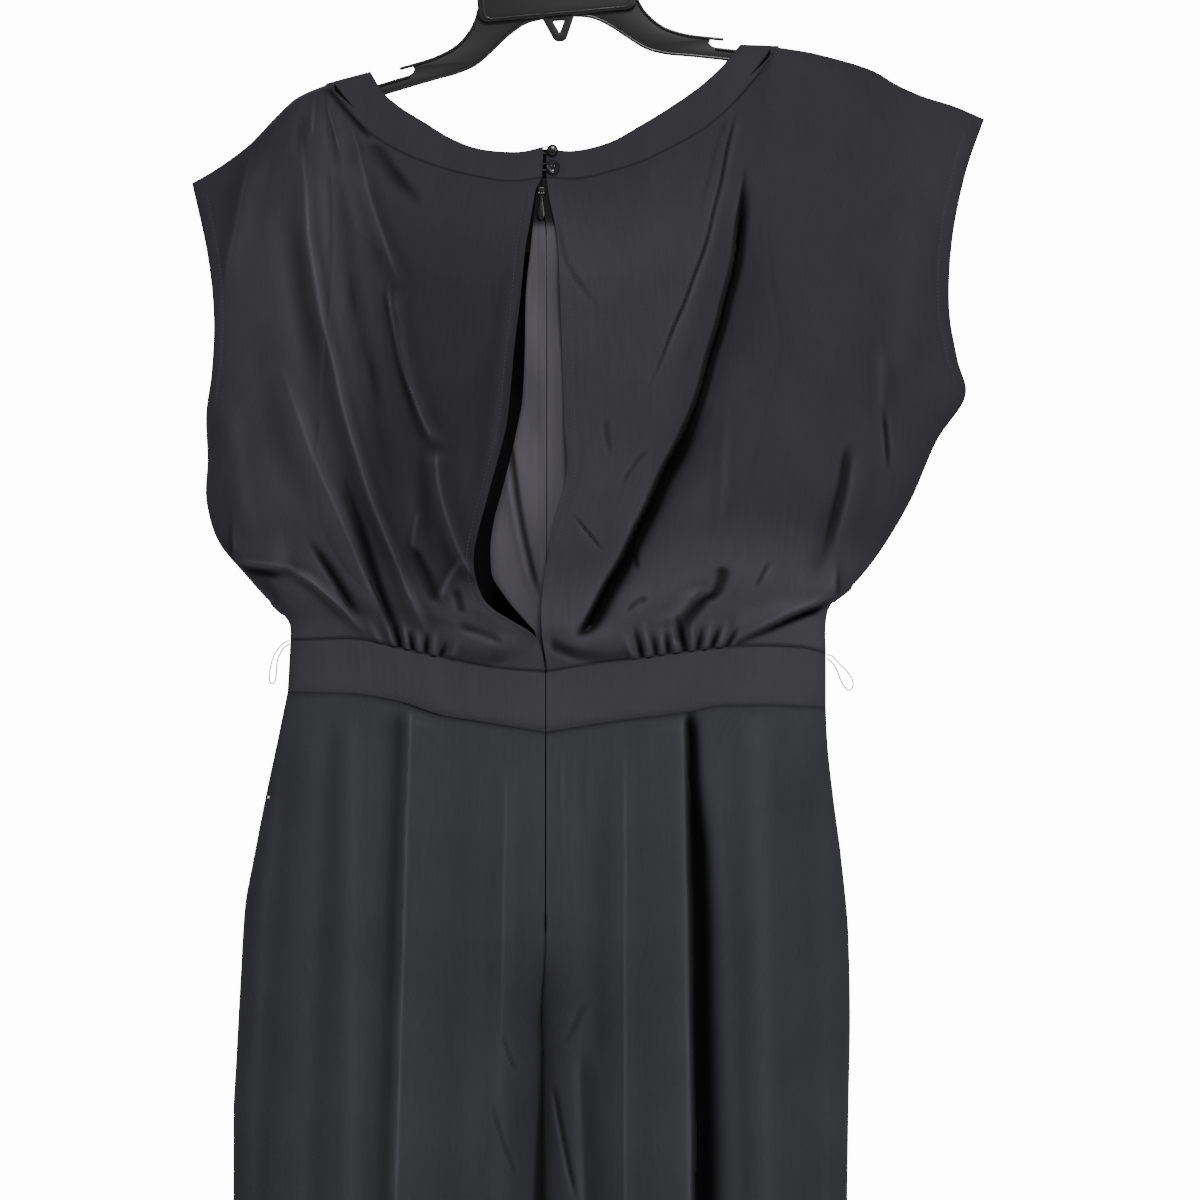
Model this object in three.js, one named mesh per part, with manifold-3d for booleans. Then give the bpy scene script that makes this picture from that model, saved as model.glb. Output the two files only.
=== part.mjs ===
// Back-opening jumpsuit hanging on a moulded hanger.
// Millimetres, +Z up. The origin is the inside top of the hanger's hook.
// -Y is the back of the garment, +X is the wearer's right-hand side seen from the back.
import * as THREE from "three";
import { mergeVertices } from "three/addons/utils/BufferGeometryUtils.js";
import Module from "manifold-3d";

const wasm = await Module();
wasm.setup();

// Driving dimensions
const WALL = 1.8;
const SEAM_GAP = 0.3;
const HALF_SEAM = SEAM_GAP / 2;
const WAIST_LEFT = 179;
const WAIST_RIGHT = 196;
const BAND_LEFT = 181;
const BAND_RIGHT = 196;
const WAIST_DEPTH = 34;
const NECK_DEPTH = 30;
const NECK_TOP_DEPTH = 28;
const SHOULDER_ROLL = 0.2;
const ARMHOLE_OPEN = 14;
const FRONT_NECK_DROP = 25;
const FRONT_RAISE = 9;
const CROTCH_TOP = -752;
const CROTCH_Z = -836;
const HEM_Z = -1545;
const LEG_GAP_START = 0.45;
const LEG_GAP_SLOPE = 0.004;
const LEG_GAP_MAX = 0.7;
const LEG_TWIST = 5;
const LEG_TWIST_DEPTH = 12;
const LEG_TWIST_RUN = 70;
const RING_POWER = 2.4;
const NECK_POWER = 2.2;
const LEG_POWER = 2.2;
const FINEST_FOLD = 5.5;
const CORNER_TRIM = 0.06;
const BAND_END = 0.35;
const UNDERLAY_WALL = 1.2;
const UNDERLAY_HALF = 165;
const UNDERLAY_TOP = -226.2;
const UNDERLAY_BOTTOM = -569;
const SLIT_LIFT_LEFT = 5;
const SLIT_LIFT_RIGHT = -8;
const SLIT_LIFT_REACH = 0.2;
const FRONT_MID_Z = -400;

// Table rows with named columns
const table = (names, rows) => {
  const keys = names.split(" ");
  return rows.map((row) => Object.fromEntries(keys.map((key, i) => [key, row[i]])));
};

// Outlines of the two halves, seen from the back
const LEFT = {
  sign: -1,
  waist: WAIST_LEFT,
  band: BAND_LEFT,
  neckSeam: table("x z", [
    [-3.4, -225.5], [-25, -228], [-60, -220], [-84, -212], [-104, -204], [-124, -192], [-140, -174],
    [-153, -158],
  ]),
  neckTop: table("x z", [
    [-2.4, -204], [-18, -207.5], [-48, -205], [-68, -197], [-84, -187], [-100, -177], [-113, -166],
    [-123, -150],
  ]),
  shoulder: table("x z", [
    [-153, -158], [-175, -168], [-189, -181], [-208, -201], [-231, -218], [-248, -228],
  ]),
  armhole: table("x z", [[-248, -228], [-236, -282], [-232, -324], [-234, -362], [-238, -390]]),
  side: table("x z", [
    [-238, -390], [-237, -422], [-238, -449], [-230, -478], [-211, -502], [-193, -522], [-180, -536],
    [-179, -548],
  ]),
  slit: table("x z", [
    [-3.4, -225.5], [-6.2, -231], [-7.6, -240], [-10, -262], [-13, -295], [-22, -359], [-36, -433], [-45, -470],
    [-49, -492], [-46, -510], [-39, -522], [-27, -532], [-15, -539], [-8, -548], [-4, -559], [-1.5, -570],
  ]),
  waistSeam: table("u z", [
    [0, -570], [0.2, -567], [0.43, -559], [0.55, -554], [0.77, -547], [1, -548],
  ]),
  bandSeam: table("u z", [[0, -612], [0.2, -606], [0.4, -600], [0.575, -590], [0.76, -585], [1, -584]]),
  trouserSide: table("z x", [
    [-584, -181], [-618, -188], [-651, -195], [-702, -205], [-736, -211], [-786, -214], [-842, -217],
    [-884, -219], [-940, -219], [-1200, -216], [-1545, -210],
  ]),
};

const RIGHT = {
  sign: 1,
  waist: WAIST_RIGHT,
  band: BAND_RIGHT,
  neckSeam: table("x z", [
    [0.5, -225.5], [24, -226], [40, -222], [66, -213], [90, -200], [114, -187], [130, -174], [141, -160],
    [153, -147], [162, -132],
  ]),
  neckTop: table("x z", [
    [0.5, -205], [18, -207], [44, -201], [66, -189], [87, -176], [108, -161], [124, -146], [136, -131],
  ]),
  shoulder: table("x z", [
    [162, -132], [186, -136], [215.5, -144], [231, -150], [246, -159], [264, -167], [286, -174], [307, -183],
  ]),
  armhole: table("x z", [[307, -183], [294, -220], [284, -268], [282, -317], [288, -352], [294, -376]]),
  side: table("x z", [
    [294, -376], [274, -408], [255, -451], [232, -489], [213, -512], [199, -524], [196, -536], [196, -557],
  ]),
  slit: table("x z", [
    [0.5, -225.5], [2.5, -240], [8, -268], [10, -310], [13, -394], [14, -436], [8, -456], [4, -476], [-1, -506],
    [-3, -528], [-2, -548], [0.2, -562], [1.2, -570],
  ]),
  waistSeam: table("u z", [
    [0, -570], [0.18, -564], [0.32, -561], [0.46, -557], [0.65, -553], [0.77, -552], [0.9, -553], [1, -557],
  ]),
  bandSeam: table("u z", [[0, -612], [0.26, -604], [0.5, -598], [0.65, -593], [0.77, -593], [1, -595]]),
  trouserSide: table("z x", [
    [-595, 196], [-618, 197], [-656, 201], [-702, 207], [-758, 212], [-814, 213], [-870, 212], [-940, 211],
    [-1200, 209], [-1545, 204],
  ]),
};

// How far the bodice stands off the mid plane, from shoulder (t = 0) to waist seam (t = 1)
const BODICE_DEPTH = table("t back front", [
  [0, 40, 38], [0.2, 44, 43], [0.45, 49, 50], [0.66, 56, 55], [0.8, 61, 58], [0.9, 56, 53], [0.96, 45, 44],
  [1, 34, 34],
]);

// How far the trousers stand off the mid plane
const TROUSER_DEPTH = table("z back front", [
  [-584, 34, 34], [-640, 41, 40], [-730, 51, 45], [-830, 52, 46], [-940, 48, 45], [-1200, 41, 40],
  [-1545, 35, 35],
]);

// Folds of the back panels: a line through three places, its height, its reach to the left and
// right of the line, and the share of its length over which each end fades
const FOLD = "x0 z0 xm zm x1 z1 height left right start end";
const FOLDS_BACK_LEFT = table(FOLD, [
  [-167, -233, -144, -401, -104, -548, 7, 14, 10, 0.3, 0.25],
  [-120, -250, -94, -372, -60, -505, 8, 9, 18, 0.35, 0.2],
  [-150, -190, -126, -366, -103, -545, -8, 8, 8, 0.25, 0.2],
  [-199, -195, -212, -250, -218, -310, 4, 12, 12, 0.3, 0.4],
  [-190, -345, -148, -436, -113, -525, 5, 13, 13, 0.4, 0.3],
  [-128, -492, -114, -522, -101, -551, -3, 4, 5, 0.4, 0.2],
]);
const CRESTS_BACK_LEFT = table(FOLD, [
  [-222, -492, -178, -496, -120, -546, 9, 9, 18, 0.2, 0.4],
  [-214, -520, -185, -522, -150, -530, -6, 8, 10, 0.2, 0.4],
  [-92, -510, -60, -521, -22, -540, 7, 8, 14, 0.4, 0.4],
  [-82, -559, -52, -560, -22, -563, -3, 4, 5, 0.3, 0.3],
]);
const FOLDS_BACK_RIGHT = table(FOLD, [
  [141, -222, 108, -366, 30, -545, 9, 24, 6, 0.35, 0.25],
  [150, -226, 117, -366, 42, -540, -7, 5, 14, 0.35, 0.25],
  [127, -188, 112, -290, 69, -380, -2.5, 4, 4, 0.2, 0.5],
  [209, -405, 200, -470, 190, -515, -4, 6, 8, 0.4, 0.3],
  [240, -385, 238, -408, 236, -432, -3, 5, 5, 0.4, 0.4],
  [123, -497, 108, -527, 87, -548, 4, 6, 5, 0.4, 0.2],
  [230, -230, 232, -320, 190, -480, 4, 22, 22, 0.4, 0.4],
]);
const CRESTS_BACK_RIGHT = table(FOLD, [
  [128, -548, 157, -532, 214, -511, 8, 6, 15, 0.3, 0.2],
  [140, -552, 168, -544, 196, -536, -4, 5, 6, 0.3, 0.2],
  [0, -546, 34, -557, 70, -553, 5, 6, 12, 0.3, 0.3],
]);

// Gathers of the bodice at the waist seam
const GATHER = "x lean rise height reach";
const GATHERS_BACK = table(GATHER, [
  [-109, -5, 28, 2.6, 3.6], [-101.5, -6, 40, 3.8, 3.2], [-92.4, -4, 34, 3.2, 3.2], [-82.6, 2, 30, 3.6, 3.4],
  [-76.3, 4, 22, 2.6, 2.8], [-63, 5, 26, 2.4, 4], [66.5, -6, 30, 3.2, 3.6], [74.2, -2, 24, 2.6, 3],
  [86.8, 8, 42, 3.8, 3.6], [95.2, 9, 30, 3, 3], [107.1, 9, 34, 3.4, 3.4], [117.6, 5, 26, 3, 3.2],
  [129.5, 7, 22, 2.6, 3.6],
]);
const GATHERS_FRONT = table(GATHER, [
  [-118, -8, 32, 3, 4], [-107, -5, 42, 3.8, 3.8], [-95, -3, 30, 3.2, 3.6], [-84, 3, 38, 3.6, 3.8],
  [-71, 5, 28, 2.8, 3.6], [-58, 3, 24, 2.4, 4], [62, -4, 26, 2.8, 4], [75, -3, 36, 3.4, 3.6],
  [88, 2, 30, 3, 3.6], [100, 6, 44, 3.8, 3.8], [113, 8, 30, 3.2, 3.6], [126, 9, 26, 2.6, 4],
]);
const FOLDS_FRONT = table(FOLD, [
  [-170, -240, -150, -400, -108, -545, 6, 15, 12, 0.3, 0.25],
  [-125, -262, -98, -390, -84, -540, 7, 12, 16, 0.35, 0.25],
  [-205, -260, -196, -380, -150, -505, 4, 16, 16, 0.4, 0.4],
  [-146, -250, -124, -380, -96, -540, -5, 9, 9, 0.3, 0.25],
  [140, -230, 118, -380, 76, -543, 7, 18, 10, 0.3, 0.25],
  [190, -235, 168, -380, 113, -543, 6, 14, 16, 0.35, 0.25],
  [240, -270, 226, -370, 180, -500, 4, 18, 14, 0.4, 0.4],
  [-30, -330, -34, -430, -60, -535, 3, 16, 16, 0.5, 0.3],
  [26, -320, 34, -430, 64, -535, 3, 16, 16, 0.5, 0.3],
]);

// Pressed pleats and hanging folds of the trousers, by face
const FOLDS_TROUSER_BACK = table(FOLD, [
  [-95, -598, -99, -740, -112, -1600, 7, 7, 16, 0.03, 0.02],
  [-113, -600, -122, -740, -136, -1600, -6, 12, 7, 0.06, 0.02],
  [-22, -650, -24, -760, -40, -1500, 4, 12, 14, 0.15, 0.3],
  [-140, -640, -146, -780, -170, -1600, 4, 13, 15, 0.15, 0.05],
  [98, -598, 103, -740, 112, -1600, 8, 22, 5, 0.02, 0.02],
  [110, -606, 112, -740, 124, -1600, -8, 5, 14, 0.05, 0.02],
  [53, -630, 57, -800, 66, -1560, 4, 12, 12, 0.15, 0.1],
  [158, -640, 160, -780, 172, -1600, 4, 14, 12, 0.15, 0.05],
  [16, -630, 18, -730, 26, -1000, 3, 8, 9, 0.2, 0.6],
]);
const FOLDS_TROUSER_FRONT = table(FOLD, [
  [-98, -598, -104, -740, -114, -1600, 8, 14, 10, 0.02, 0.02],
  [-112, -604, -124, -760, -138, -1600, -5, 10, 10, 0.05, 0.02],
  [-60, -610, -62, -740, -74, -1500, 4, 13, 13, 0.1, 0.2],
  [-150, -650, -156, -800, -174, -1600, 4, 14, 14, 0.15, 0.05],
  [100, -598, 106, -740, 114, -1600, 8, 10, 14, 0.02, 0.02],
  [86, -604, 90, -760, 96, -1600, -5, 10, 8, 0.05, 0.02],
  [58, -612, 60, -740, 68, -1500, 4, 13, 13, 0.1, 0.2],
  [154, -650, 160, -800, 172, -1600, 4, 14, 14, 0.15, 0.05],
]);

// Inner back behind the slit
const UNDERLAY_DEPTH = table("z depth", [
  [-226, 27.6], [-262, 28.6], [-300, 30.5], [-380, 33.5], [-470, 36], [-530, 35], [-570, 30.5],
]);
const UNDERLAY_EDGE = table("z left right", [
  [-226, -9, 13], [-262, -15.5, 22], [-300, -17.5, 32], [-340, -19, 40], [-400, -24.5, 46], [-430, -29, 48],
  [-460, -33, 48], [-490, -36.5, 47], [-512, -34, 46], [-530, -21, 45], [-543, -11, 45], [-570, -8, 44],
]);
const ZIP_LINE = table("z x", [
  [-226, -3.2], [-245, -2.4], [-262, 0.2], [-300, 0.7], [-470, 0.7], [-530, 0.2], [-570, 0],
]);

const clamp = (value, low, high) => Math.min(Math.max(value, low), high);
const mix = (a, b, k) => a + (b - a) * k;
const smooth = (value) => {
  const k = clamp(value, 0, 1);
  return k * k * (3 - 2 * k);
};

// Smooth value read from a table: the slope at a row is 0 at a peak and the harmonic mean elsewhere
function readTable(rows, key, column, at) {
  const rising = rows[rows.length - 1][key] > rows[0][key];
  const ends = [rows[0][key], rows.at(-1)[key]];
  const inside = clamp(at, Math.min(...ends), Math.max(...ends));
  let i = 0;
  while (i < rows.length - 2 && (rising ? inside > rows[i + 1][key] : inside < rows[i + 1][key])) i += 1;
  const slope = (k) => (rows[k + 1][column] - rows[k][column]) / (rows[k + 1][key] - rows[k][key]);
  const tangent = (k) => {
    if (k === 0) return slope(0);
    if (k === rows.length - 1) return slope(k - 1);
    const before = slope(k - 1);
    const after = slope(k);
    return before * after <= 0 ? 0 : (2 * before * after) / (before + after);
  };
  const span = rows[i + 1][key] - rows[i][key];
  const k = (inside - rows[i][key]) / span;
  const k2 = k * k;
  const k3 = k2 * k;
  return (
    (2 * k3 - 3 * k2 + 1) * rows[i][column] +
    (k3 - 2 * k2 + k) * span * tangent(i) +
    (-2 * k3 + 3 * k2) * rows[i + 1][column] +
    (k3 - k2) * span * tangent(i + 1)
  );
}

// Curve in the XZ plane through the rows of a table, read by share of its length
function curveThrough(rows) {
  const points = rows.map((row) => new THREE.Vector3(row.x, 0, row.z));
  return new THREE.CatmullRomCurve3(points, false, "centripetal");
}

// Round closing profile of a ring, 1 at the middle of a face and 0 at its side seam
const ringShare = (u, power) => Math.sqrt(Math.max(0, 1 - Math.pow(clamp(Math.abs(u), 0, 1), power)));

// Height of one fold at a place; run is the coordinate along the fold, cross the one over it
function foldHeight(fold, run, cross, runKey, crossKey) {
  const first = fold[`${runKey}0`];
  const last = fold[`${runKey}1`];
  const share = (run - first) / (last - first);
  if (share <= 0 || share >= 1) return 0;
  const middle = (fold[`${runKey}m`] - first) / (last - first);
  const bow = fold[`${crossKey}m`] - mix(fold[`${crossKey}0`], fold[`${crossKey}1`], middle);
  const straight = mix(fold[`${crossKey}0`], fold[`${crossKey}1`], share);
  const line = straight + (bow * share * (1 - share)) / (middle * (1 - middle));
  const reach = Math.hypot(cross < line ? fold.left : fold.right, FINEST_FOLD);
  const ends = smooth(share / fold.start) * smooth((1 - share) / fold.end);
  return fold.height * ends * Math.exp(-(((cross - line) / reach) ** 2));
}

const sumFolds = (folds, crests, x, z) =>
  folds.reduce((total, fold) => total + foldHeight(fold, z, x, "z", "x"), 0) +
  crests.reduce((total, fold) => total + foldHeight(fold, x, z, "x", "z"), 0);

// Height of the gathers at a distance above the waist seam
function gatherHeight(gathers, x, above) {
  let total = 0;
  for (const gather of gathers) {
    const share = above / gather.rise;
    if (share >= 1) continue;
    const line = gather.x + gather.lean * share;
    const fade = smooth(1 - share) * (0.45 + 0.55 * smooth(share / 0.25));
    total += gather.height * fade * Math.exp(-(((x - line) / gather.reach) ** 2));
  }
  return total;
}

// A point of the waist seam or of the waistband's lower seam
function ringSeam(half, seam, face, u) {
  const rows = half[seam];
  const raise = face === "back" ? 0 : FRONT_RAISE * (1 - u * u);
  const z = readTable(rows, "u", "z", u) + raise;
  const width = seam === "waistSeam" ? half.waist : half.band;
  return { x: half.sign * width * u, z };
}

// Neckline of the front: the back's line, dropped towards the middle
function frontNeck(rows, drop) {
  const end = rows.at(-1).x;
  return rows.map((row, i) => {
    const u = i === 0 ? 0 : row.x / end;
    return { x: i === 0 ? 0 : row.x, z: row.z - drop * (1 - Math.pow(Math.abs(u), 3)) };
  });
}

// The form of one half of the bodice: (s, t) from centre to side and from shoulder to waist seam
function bodiceForm(half, face) {
  const back = face === "back";
  const turn = back ? -1 : 1;
  const neck = curveThrough(back ? half.neckSeam : frontNeck(half.neckSeam, FRONT_NECK_DROP));
  const shoulder = curveThrough(half.shoulder);
  const outer = curveThrough([...half.armhole, ...half.side.slice(1)]);
  const neckShare = neck.getLength() / (neck.getLength() + shoulder.getLength());
  const armShare = curveThrough(half.armhole).getLength() / outer.getLength();
  const seam = (s) => {
    const point = ringSeam(half, "waistSeam", face, s);
    return new THREE.Vector3(point.x, 0, point.z);
  };
  const frontCentre = [{ x: 0, z: neck.getPointAt(0).z }, { x: 0, z: FRONT_MID_Z }, { x: 0, z: seam(0).z }];
  const centre = curveThrough(back ? half.slit : frontCentre);
  const top = (s) =>
    s < neckShare ? neck.getPointAt(s / neckShare) : shoulder.getPointAt((s - neckShare) / (1 - neckShare));
  const corners = { start: top(0), tip: top(1), low: seam(0), end: seam(1) };
  const firstRow = SEAM_GAP / centre.getLength();
  const backRows = half.sign < 0 ? [FOLDS_BACK_LEFT, CRESTS_BACK_LEFT] : [FOLDS_BACK_RIGHT, CRESTS_BACK_RIGHT];
  const foldRows = back ? backRows : [FOLDS_FRONT, []];
  const gathers = (back ? GATHERS_BACK : GATHERS_FRONT).filter((gather) => gather.x * half.sign > 0);

  // Coons patch between the four outlines
  const plan = (s, t) => {
    const point = top(s).multiplyScalar(1 - t).addScaledVector(seam(s), t);
    point.addScaledVector(centre.getPointAt(t), 1 - s).addScaledVector(outer.getPointAt(t), s);
    point.addScaledVector(corners.start, -(1 - s) * (1 - t)).addScaledVector(corners.tip, -s * (1 - t));
    point.addScaledVector(corners.low, -(1 - s) * t).addScaledVector(corners.end, -s * t);
    return point;
  };

  const base = (s, t) => {
    const steep = mix(1, 2.4, smooth(1.6 - Math.abs(s / neckShare - 1) * 4));
    const inner = mix(steep * firstRow, 1 - firstRow, t);
    const point = plan(s, inner);
    const roll = clamp(t / SHOULDER_ROLL, 0, 1);
    const round = Math.sqrt(1 - (1 - roll) ** 2);
    const rise = mix(smooth(roll * 0.5) * 2, round, smooth((s / neckShare - 0.55) / 0.45));
    const topDepth = s < neckShare ? NECK_DEPTH * ringShare(s / neckShare, NECK_POWER) : 0;
    const arm = t < armShare ? ARMHOLE_OPEN * Math.sin((Math.PI * t) / armShare) : 0;
    const full = readTable(BODICE_DEPTH, "t", face, t);
    const body = mix(arm, full, ringShare(s, RING_POWER));
    point.y = turn * mix(topDepth, body, Math.min(rise, 1));
    return point;
  };

  const outside = (s, t) => {
    const point = base(s, t);
    const away = smooth(t / 0.07) * smooth((1 - s) / 0.06) * mix(1, 0.25, smooth((t - 0.93) / 0.07));
    const above = point.z - seam(s).z;
    const folds = sumFolds(...foldRows, point.x, point.z) * away;
    point.y += turn * (folds + gatherHeight(gathers, point.x, above) * smooth((1 - s) / 0.06));
    if (back) point.y += turn * slitLift(half, s, t);
    return point;
  };
  const band = neckbandForm(half, face);
  const seamOutward = (s) => neckbandOutward(band, s / neckShare, 1, turn);
  return { base, outside, neckShare, shoulder, outer, turn, seamOutward };
}

// The left slit edge stands proud of the inner back and the right one lies close to it
function slitLift(half, s, t) {
  const along = smooth((t - 0.12) / 0.3) * smooth((0.97 - t) / 0.15);
  const near = Math.exp(-((s / SLIT_LIFT_REACH) ** 2));
  return (half.sign < 0 ? SLIT_LIFT_LEFT : SLIT_LIFT_RIGHT) * along * near;
}

// Outward direction of a form at a place, from its slopes
function outwardOf(base, s, t, turn) {
  const step = 0.004;
  const alongS = base(Math.min(s + step, 1), t).sub(base(Math.max(s - step, 0), t));
  const alongT = base(s, Math.min(t + step, 1)).sub(base(s, Math.max(t - step, 0)));
  const normal = alongS.cross(alongT).normalize();
  return normal.y * turn < 0 ? normal.negate() : normal;
}

// Normal of an edge curve within the XZ plane, pointing away from the panel's middle
function edgeNormal(curve, share, sign) {
  const tangent = curve.getTangentAt(clamp(share, 0, 1));
  const normal = new THREE.Vector3(-tangent.z, 0, tangent.x);
  return normal.x * sign + normal.z < 0 ? normal.negate() : normal;
}

// Closed wall between an outer and an inner sheet of grid points
function wallGeometry(columns, rows, outerAt, innerAt) {
  const wide = columns.length;
  const high = rows.length;
  const positions = [];
  for (const sheet of [outerAt, innerAt]) {
    for (const t of rows) {
      for (const s of columns) positions.push(...sheet(s, t).toArray());
    }
  }
  const at = (sheet, i, j) => sheet * wide * high + j * wide + i;
  const index = [];
  const quad = (a, b, c, d) => index.push(a, b, c, a, c, d);
  for (let j = 0; j < high - 1; j += 1) {
    for (let i = 0; i < wide - 1; i += 1) {
      quad(at(0, i, j), at(0, i + 1, j), at(0, i + 1, j + 1), at(0, i, j + 1));
      quad(at(1, i, j), at(1, i, j + 1), at(1, i + 1, j + 1), at(1, i + 1, j));
    }
  }
  for (let i = 0; i < wide - 1; i += 1) {
    quad(at(0, i + 1, 0), at(0, i, 0), at(1, i, 0), at(1, i + 1, 0));
    quad(at(0, i, high - 1), at(0, i + 1, high - 1), at(1, i + 1, high - 1), at(1, i, high - 1));
  }
  for (let j = 0; j < high - 1; j += 1) {
    quad(at(0, 0, j), at(0, 0, j + 1), at(1, 0, j + 1), at(1, 0, j));
    quad(at(0, wide - 1, j + 1), at(0, wide - 1, j), at(1, wide - 1, j), at(1, wide - 1, j + 1));
  }
  const geometry = new THREE.BufferGeometry();
  geometry.setAttribute("position", new THREE.Float32BufferAttribute(positions, 3));
  geometry.setIndex(signedVolume(positions, index) < 0 ? flipped(index) : index);
  return geometry;
}

function signedVolume(positions, index) {
  let total = 0;
  const corner = (k) => new THREE.Vector3(positions[3 * k], positions[3 * k + 1], positions[3 * k + 2]);
  for (let i = 0; i < index.length; i += 3) {
    total += corner(index[i]).dot(corner(index[i + 1]).cross(corner(index[i + 2])));
  }
  return total;
}

function flipped(index) {
  const turned = [];
  for (let i = 0; i < index.length; i += 3) turned.push(index[i], index[i + 2], index[i + 1]);
  return turned;
}

// Grid lines between stops, with a count of cells for each stretch
function gridLines(stops, counts) {
  const lines = [stops[0]];
  counts.forEach((count, k) => {
    for (let i = 1; i <= count; i += 1) lines.push(mix(stops[k], stops[k + 1], i / count));
  });
  return lines;
}

// Keeps a back point behind the side seam and a front point before it
const besideSeam = (point, turn) => {
  point.y = turn < 0 ? Math.min(point.y, -HALF_SEAM) : Math.max(point.y, HALF_SEAM);
  return point;
};

const BODICE_ROWS = [
  0, 0.003, 0.012, 0.04, 0.085, 0.15, 0.23, 0.32, 0.42, 0.52, 0.61, 0.69, 0.77, 0.84, 0.9, 0.95, 1,
];

function bodiceInner(form, sign, s, t) {
  const point = form.outside(s, t);
  let normal = outwardOf(form.base, s, t, form.turn);
  if (t === 0) {
    const beyond = (s - form.neckShare) / (1 - form.neckShare);
    const onNeck = beyond < 1e-6;
    normal = onNeck ? form.seamOutward(Math.min(s, form.neckShare)) : edgeNormal(form.shoulder, beyond, 0);
  }
  if (s === 1) {
    const side = edgeNormal(form.outer, t, sign);
    normal = t === 0 ? normal.add(side) : side;
  }
  return besideSeam(point.addScaledVector(normal, -WALL), form.turn);
}

// Grid lines along the neck seam, shared by the neckband and the bodice
const BACK_NECK_LINES = gridLines([0, 0.5, 0.9, 0.98, 1], [5, 9, 2, 1]);
const FRONT_NECK_LINES = gridLines([0, 0.5, 0.9, 0.98, 1], [4, 5, 2, 1]);

function bodiceBack(half) {
  const form = bodiceForm(half, "back");
  const beyond = gridLines([form.neckShare, 0.8, 0.93, 0.985, 1], [4, 3, 2, 1]);
  const columns = [...BACK_NECK_LINES.map((v) => v * form.neckShare), ...beyond.slice(1)];
  const outer = (s, t) => besideSeam(form.outside(s, t), form.turn);
  return wallGeometry(columns, BODICE_ROWS, outer, (s, t) => bodiceInner(form, half.sign, s, t));
}

const FRONT_ROWS = [0, 0.003, 0.012, 0.04, 0.085, 0.15, 0.25, 0.37, 0.5, 0.62, 0.73, 0.82, 0.89, 0.945, 1];

function bodiceFront() {
  const forms = { "-1": bodiceForm(LEFT, "front"), 1: bodiceForm(RIGHT, "front") };
  const share = { "-1": forms[-1].neckShare, 1: forms[1].neckShare };
  const half = (sign) => [
    ...FRONT_NECK_LINES.map((v) => v * share[sign]),
    ...gridLines([share[sign], 0.82, 0.94, 0.985, 1], [3, 2, 1, 1]).slice(1),
  ];
  const columns = [...half(-1).slice(1).reverse().map((s) => -s), ...half(1)];
  const outer = (s, t) => besideSeam(forms[s < 0 ? -1 : 1].outside(Math.abs(s), t), 1);
  const inner = (s, t) => {
    const sign = s < 0 ? -1 : 1;
    const point = bodiceInner(forms[sign], sign, Math.abs(s), t);
    if (s === 0) point.x = 0;
    return point;
  };
  return wallGeometry(columns, FRONT_ROWS, outer, inner);
}

// Neckband between the neck seam (t = 1) and its top edge (t = 0)
function neckbandForm(half, face) {
  const back = face === "back";
  const seam = curveThrough(back ? half.neckSeam : frontNeck(half.neckSeam, FRONT_NECK_DROP));
  const top = curveThrough(back ? half.neckTop : frontNeck(half.neckTop, FRONT_NECK_DROP));
  const turn = back ? -1 : 1;
  return (s, t) => {
    const trim = 1 - CORNER_TRIM * smooth((s - 0.86) / 0.14);
    const point = top.getPointAt(s).lerp(seam.getPointAt(s), t * trim);
    point.y = turn * mix(NECK_TOP_DEPTH, NECK_DEPTH, t) * ringShare(s, NECK_POWER);
    return point;
  };
}

// Outward direction of the neckband; at the shoulder it lies in the XZ plane
function neckbandOutward(form, u, t, turn) {
  if (u < 1 - 1e-9) return outwardOf(form, u, t, turn);
  const edge = form(1, 1).sub(form(1, 0));
  const normal = new THREE.Vector3(-edge.z, 0, edge.x).normalize();
  return normal.z < 0 ? normal.negate() : normal;
}

function neckbandGeometry(halves, face) {
  const turn = face === "back" ? -1 : 1;
  const forms = Object.fromEntries(halves.map((half) => [half.sign, neckbandForm(half, face)]));
  const signOf = (s) => (halves.length === 1 ? halves[0].sign : s < 0 ? -1 : 1);
  const lines = face === "back" ? BACK_NECK_LINES : FRONT_NECK_LINES;
  const columns = halves.length === 1 ? lines : [...lines.slice(1).reverse().map((s) => -s), ...lines];
  const outer = (s, t) => besideSeam(forms[signOf(s)](Math.abs(s), t), turn);
  const inner = (s, t) => {
    const form = forms[signOf(s)];
    const u = Math.abs(s);
    const point = form(u, t).addScaledVector(neckbandOutward(form, u, t, turn), -WALL);
    if (s === 0 && halves.length === 2) point.x = 0;
    return besideSeam(point, turn);
  };
  return wallGeometry(columns, [0, 0.5, 1], outer, inner);
}

// Grid lines round a half ring, shared by the waistband and the trousers
const RING_LINES = gridLines([0, 0.08, 0.4, 0.66, 0.92, 0.985, 1], [2, 4, 6, 4, 2, 1]);

// A waistband ring point, u from centre to side, t from the waist seam to the lower seam
function waistbandForm(half, face) {
  const turn = face === "back" ? -1 : 1;
  return (u, t) => {
    const high = ringSeam(half, "waistSeam", face, u);
    const low = ringSeam(half, "bandSeam", face, u);
    const y = turn * WAIST_DEPTH * ringShare(u, RING_POWER);
    return new THREE.Vector3(mix(high.x, low.x, t), y, mix(high.z, low.z, t));
  };
}

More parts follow.
